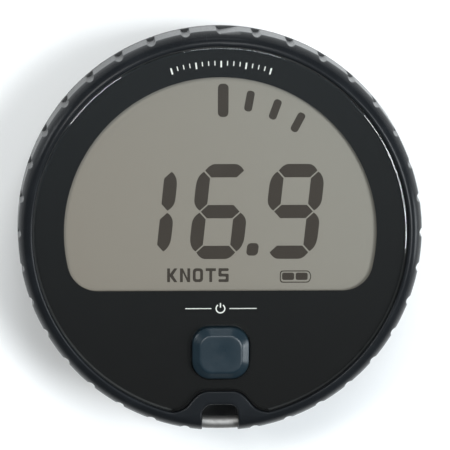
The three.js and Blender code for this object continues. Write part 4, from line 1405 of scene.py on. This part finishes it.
# %% Battery door
door = slab("bay_door", [door_outline(-0.3)], 0.5, 3.0, 0.35)
door_cuts = [pillar(4.2, -1, 2.0, place, 64) for place in door_screw_places]
door_cuts += [pillar(1.9, -1, 5, place) for place in door_screw_places]
door_cuts += [slab("panel", [rounded_rectangle(52, 29, 6)], 0.0, 0.75)]
carve(door, door_cuts)
ribs = [
    slab("rib", [rounded_rectangle(0.9, 18, 0.44, (side * x, 0), 15)], 0.52, 1.2, 0.14, 2)
    for side in (-1, 1) for x in (20.5, 18.3, 16.1)
]
carve(door, ribs, "UNION")
finished(door, door_plastic, "battery_door", ["battery_door"])

# %% [markdown]
# ## Cells
#
# Two AA cells lie side by side, nose to tail. Each is a steel can in a printed sleeve, with a
# turned-in lip at both ends, a recessed flat negative end and a stepped positive nub.

# %% Cells
CELL_Z = 11.35
CELL_OFFSET = 7.75
CELL_HALF = 25.25
CELL_SHIFT = 3.7
CELL_PROFILE = [
    (0, -24.95), (5.6, -24.95), (6.0, -25.15), (6.5, -25.25), (6.85, -25.18), (7.07, -24.95), (7.15, -24.6),
    (7.15, 23.2), (7.07, 23.55), (6.85, 23.78), (6.5, 23.85), (5.4, 23.8), (5.2, 23.55), (2.95, 23.5),
    (2.75, 23.8), (2.6, 24.1), (2.6, 24.95), (2.5, 25.17), (2.3, CELL_HALF), (0, CELL_HALF),
]


def cell(name, replaced, turn, y):
    piece = turned(name, CELL_PROFILE, segments=72)
    lay = Matrix.Rotation(math.radians(90), 4, "Y")
    spin = Matrix.Rotation(math.radians(turn), 4, "Z")
    piece.data.transform(lay)
    piece.matrix_world = Matrix.Translation((0, y * MM, CELL_Z * MM)) @ spin
    piece.matrix_world @= Matrix.Translation((CELL_SHIFT * MM, 0, 0))
    return finished(piece, cell_sleeve, "case", [replaced])


cell("sleeved_cell_upper", "battery_upper", 0, CELL_OFFSET)
cell("sleeved_cell_lower", "battery_lower", 180, -CELL_OFFSET)

# %% [markdown]
# ## Finishes for the solids that stay
#
# The remaining solids already have the right shape. Each takes one of the finishes above.

# %% Paint the rest
REST = {
    "front_shell": black_housing, "lcd_panel": display_glass, "lcd_reflector": silver_film,
    "lcd_frame": inner_plastic, "zebra_strip": seal_rubber, "button_o_ring": seal_rubber,
    "switch_plunger": seal_rubber, "case_seal": seal_rubber, "door_gasket": seal_rubber,
    "tact_switch": chip_black, "main_board": circuit_board, "gps_antenna": antenna_ceramic,
    "gps_module": stainless_steel, "processor_chip": chip_black, "flash_chip": chip_black,
    "supply_coil": chip_black,
}
PREFIXES = {
    "board_screw": turned_steel, "contact_spring": contact_metal, "contact_plate": contact_metal,
    "contact_pin": brass, "screw_insert": brass, "screw_clip": contact_metal,
}


def kept_finish(name):
    if name in REST:
        return REST[name]
    matches = [material for prefix, material in PREFIXES.items() if name.startswith(prefix)]
    return matches[0] if matches else None


unpainted = []
for name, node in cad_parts.items():
    material = kept_finish(name)
    if material is None:
        unpainted.append(name)
        continue
    for material_slot in node.material_slots:
        material_slot.material = material
print("no finish of their own, because a finer piece stands for them:", unpainted)

# %% [markdown]
# ## Floor
#
# A plain pale sweep under the puck. It is large, so its far edge never shows, and it has a faint
# unevenness so that it doesn't read as a perfect plane.

# %% Floor
def floor_finish():
    finish = Finish("pale_sweep")
    tone = finish.noise(60.0, 3.0)
    tooth = finish.noise(0.8, 2.0)
    return finish.surface(
        Base_Color=finish.blend(tone, (0.90, 0.90, 0.90), (0.93, 0.93, 0.92)),
        Roughness=(0.7 + (tone - 0.5) * 0.1).clipped(),
        Normal=finish.bump(tooth, 0.01))


FLOOR_HALF = 3.0
FLOOR_Z = -0.2 * MM
floor_mesh = bpy.data.meshes.new("floor")
floor_signs = ((-1, -1), (1, -1), (1, 1), (-1, 1))
floor_corners = [(x * FLOOR_HALF, y * FLOOR_HALF, FLOOR_Z) for x, y in floor_signs]
floor_mesh.from_pydata(floor_corners, [], [(0, 1, 2, 3)])
floor_mesh.materials.append(floor_finish())
floor = scene_object("floor", floor_mesh)
print("floor:", 2 * FLOOR_HALF, "m wide")
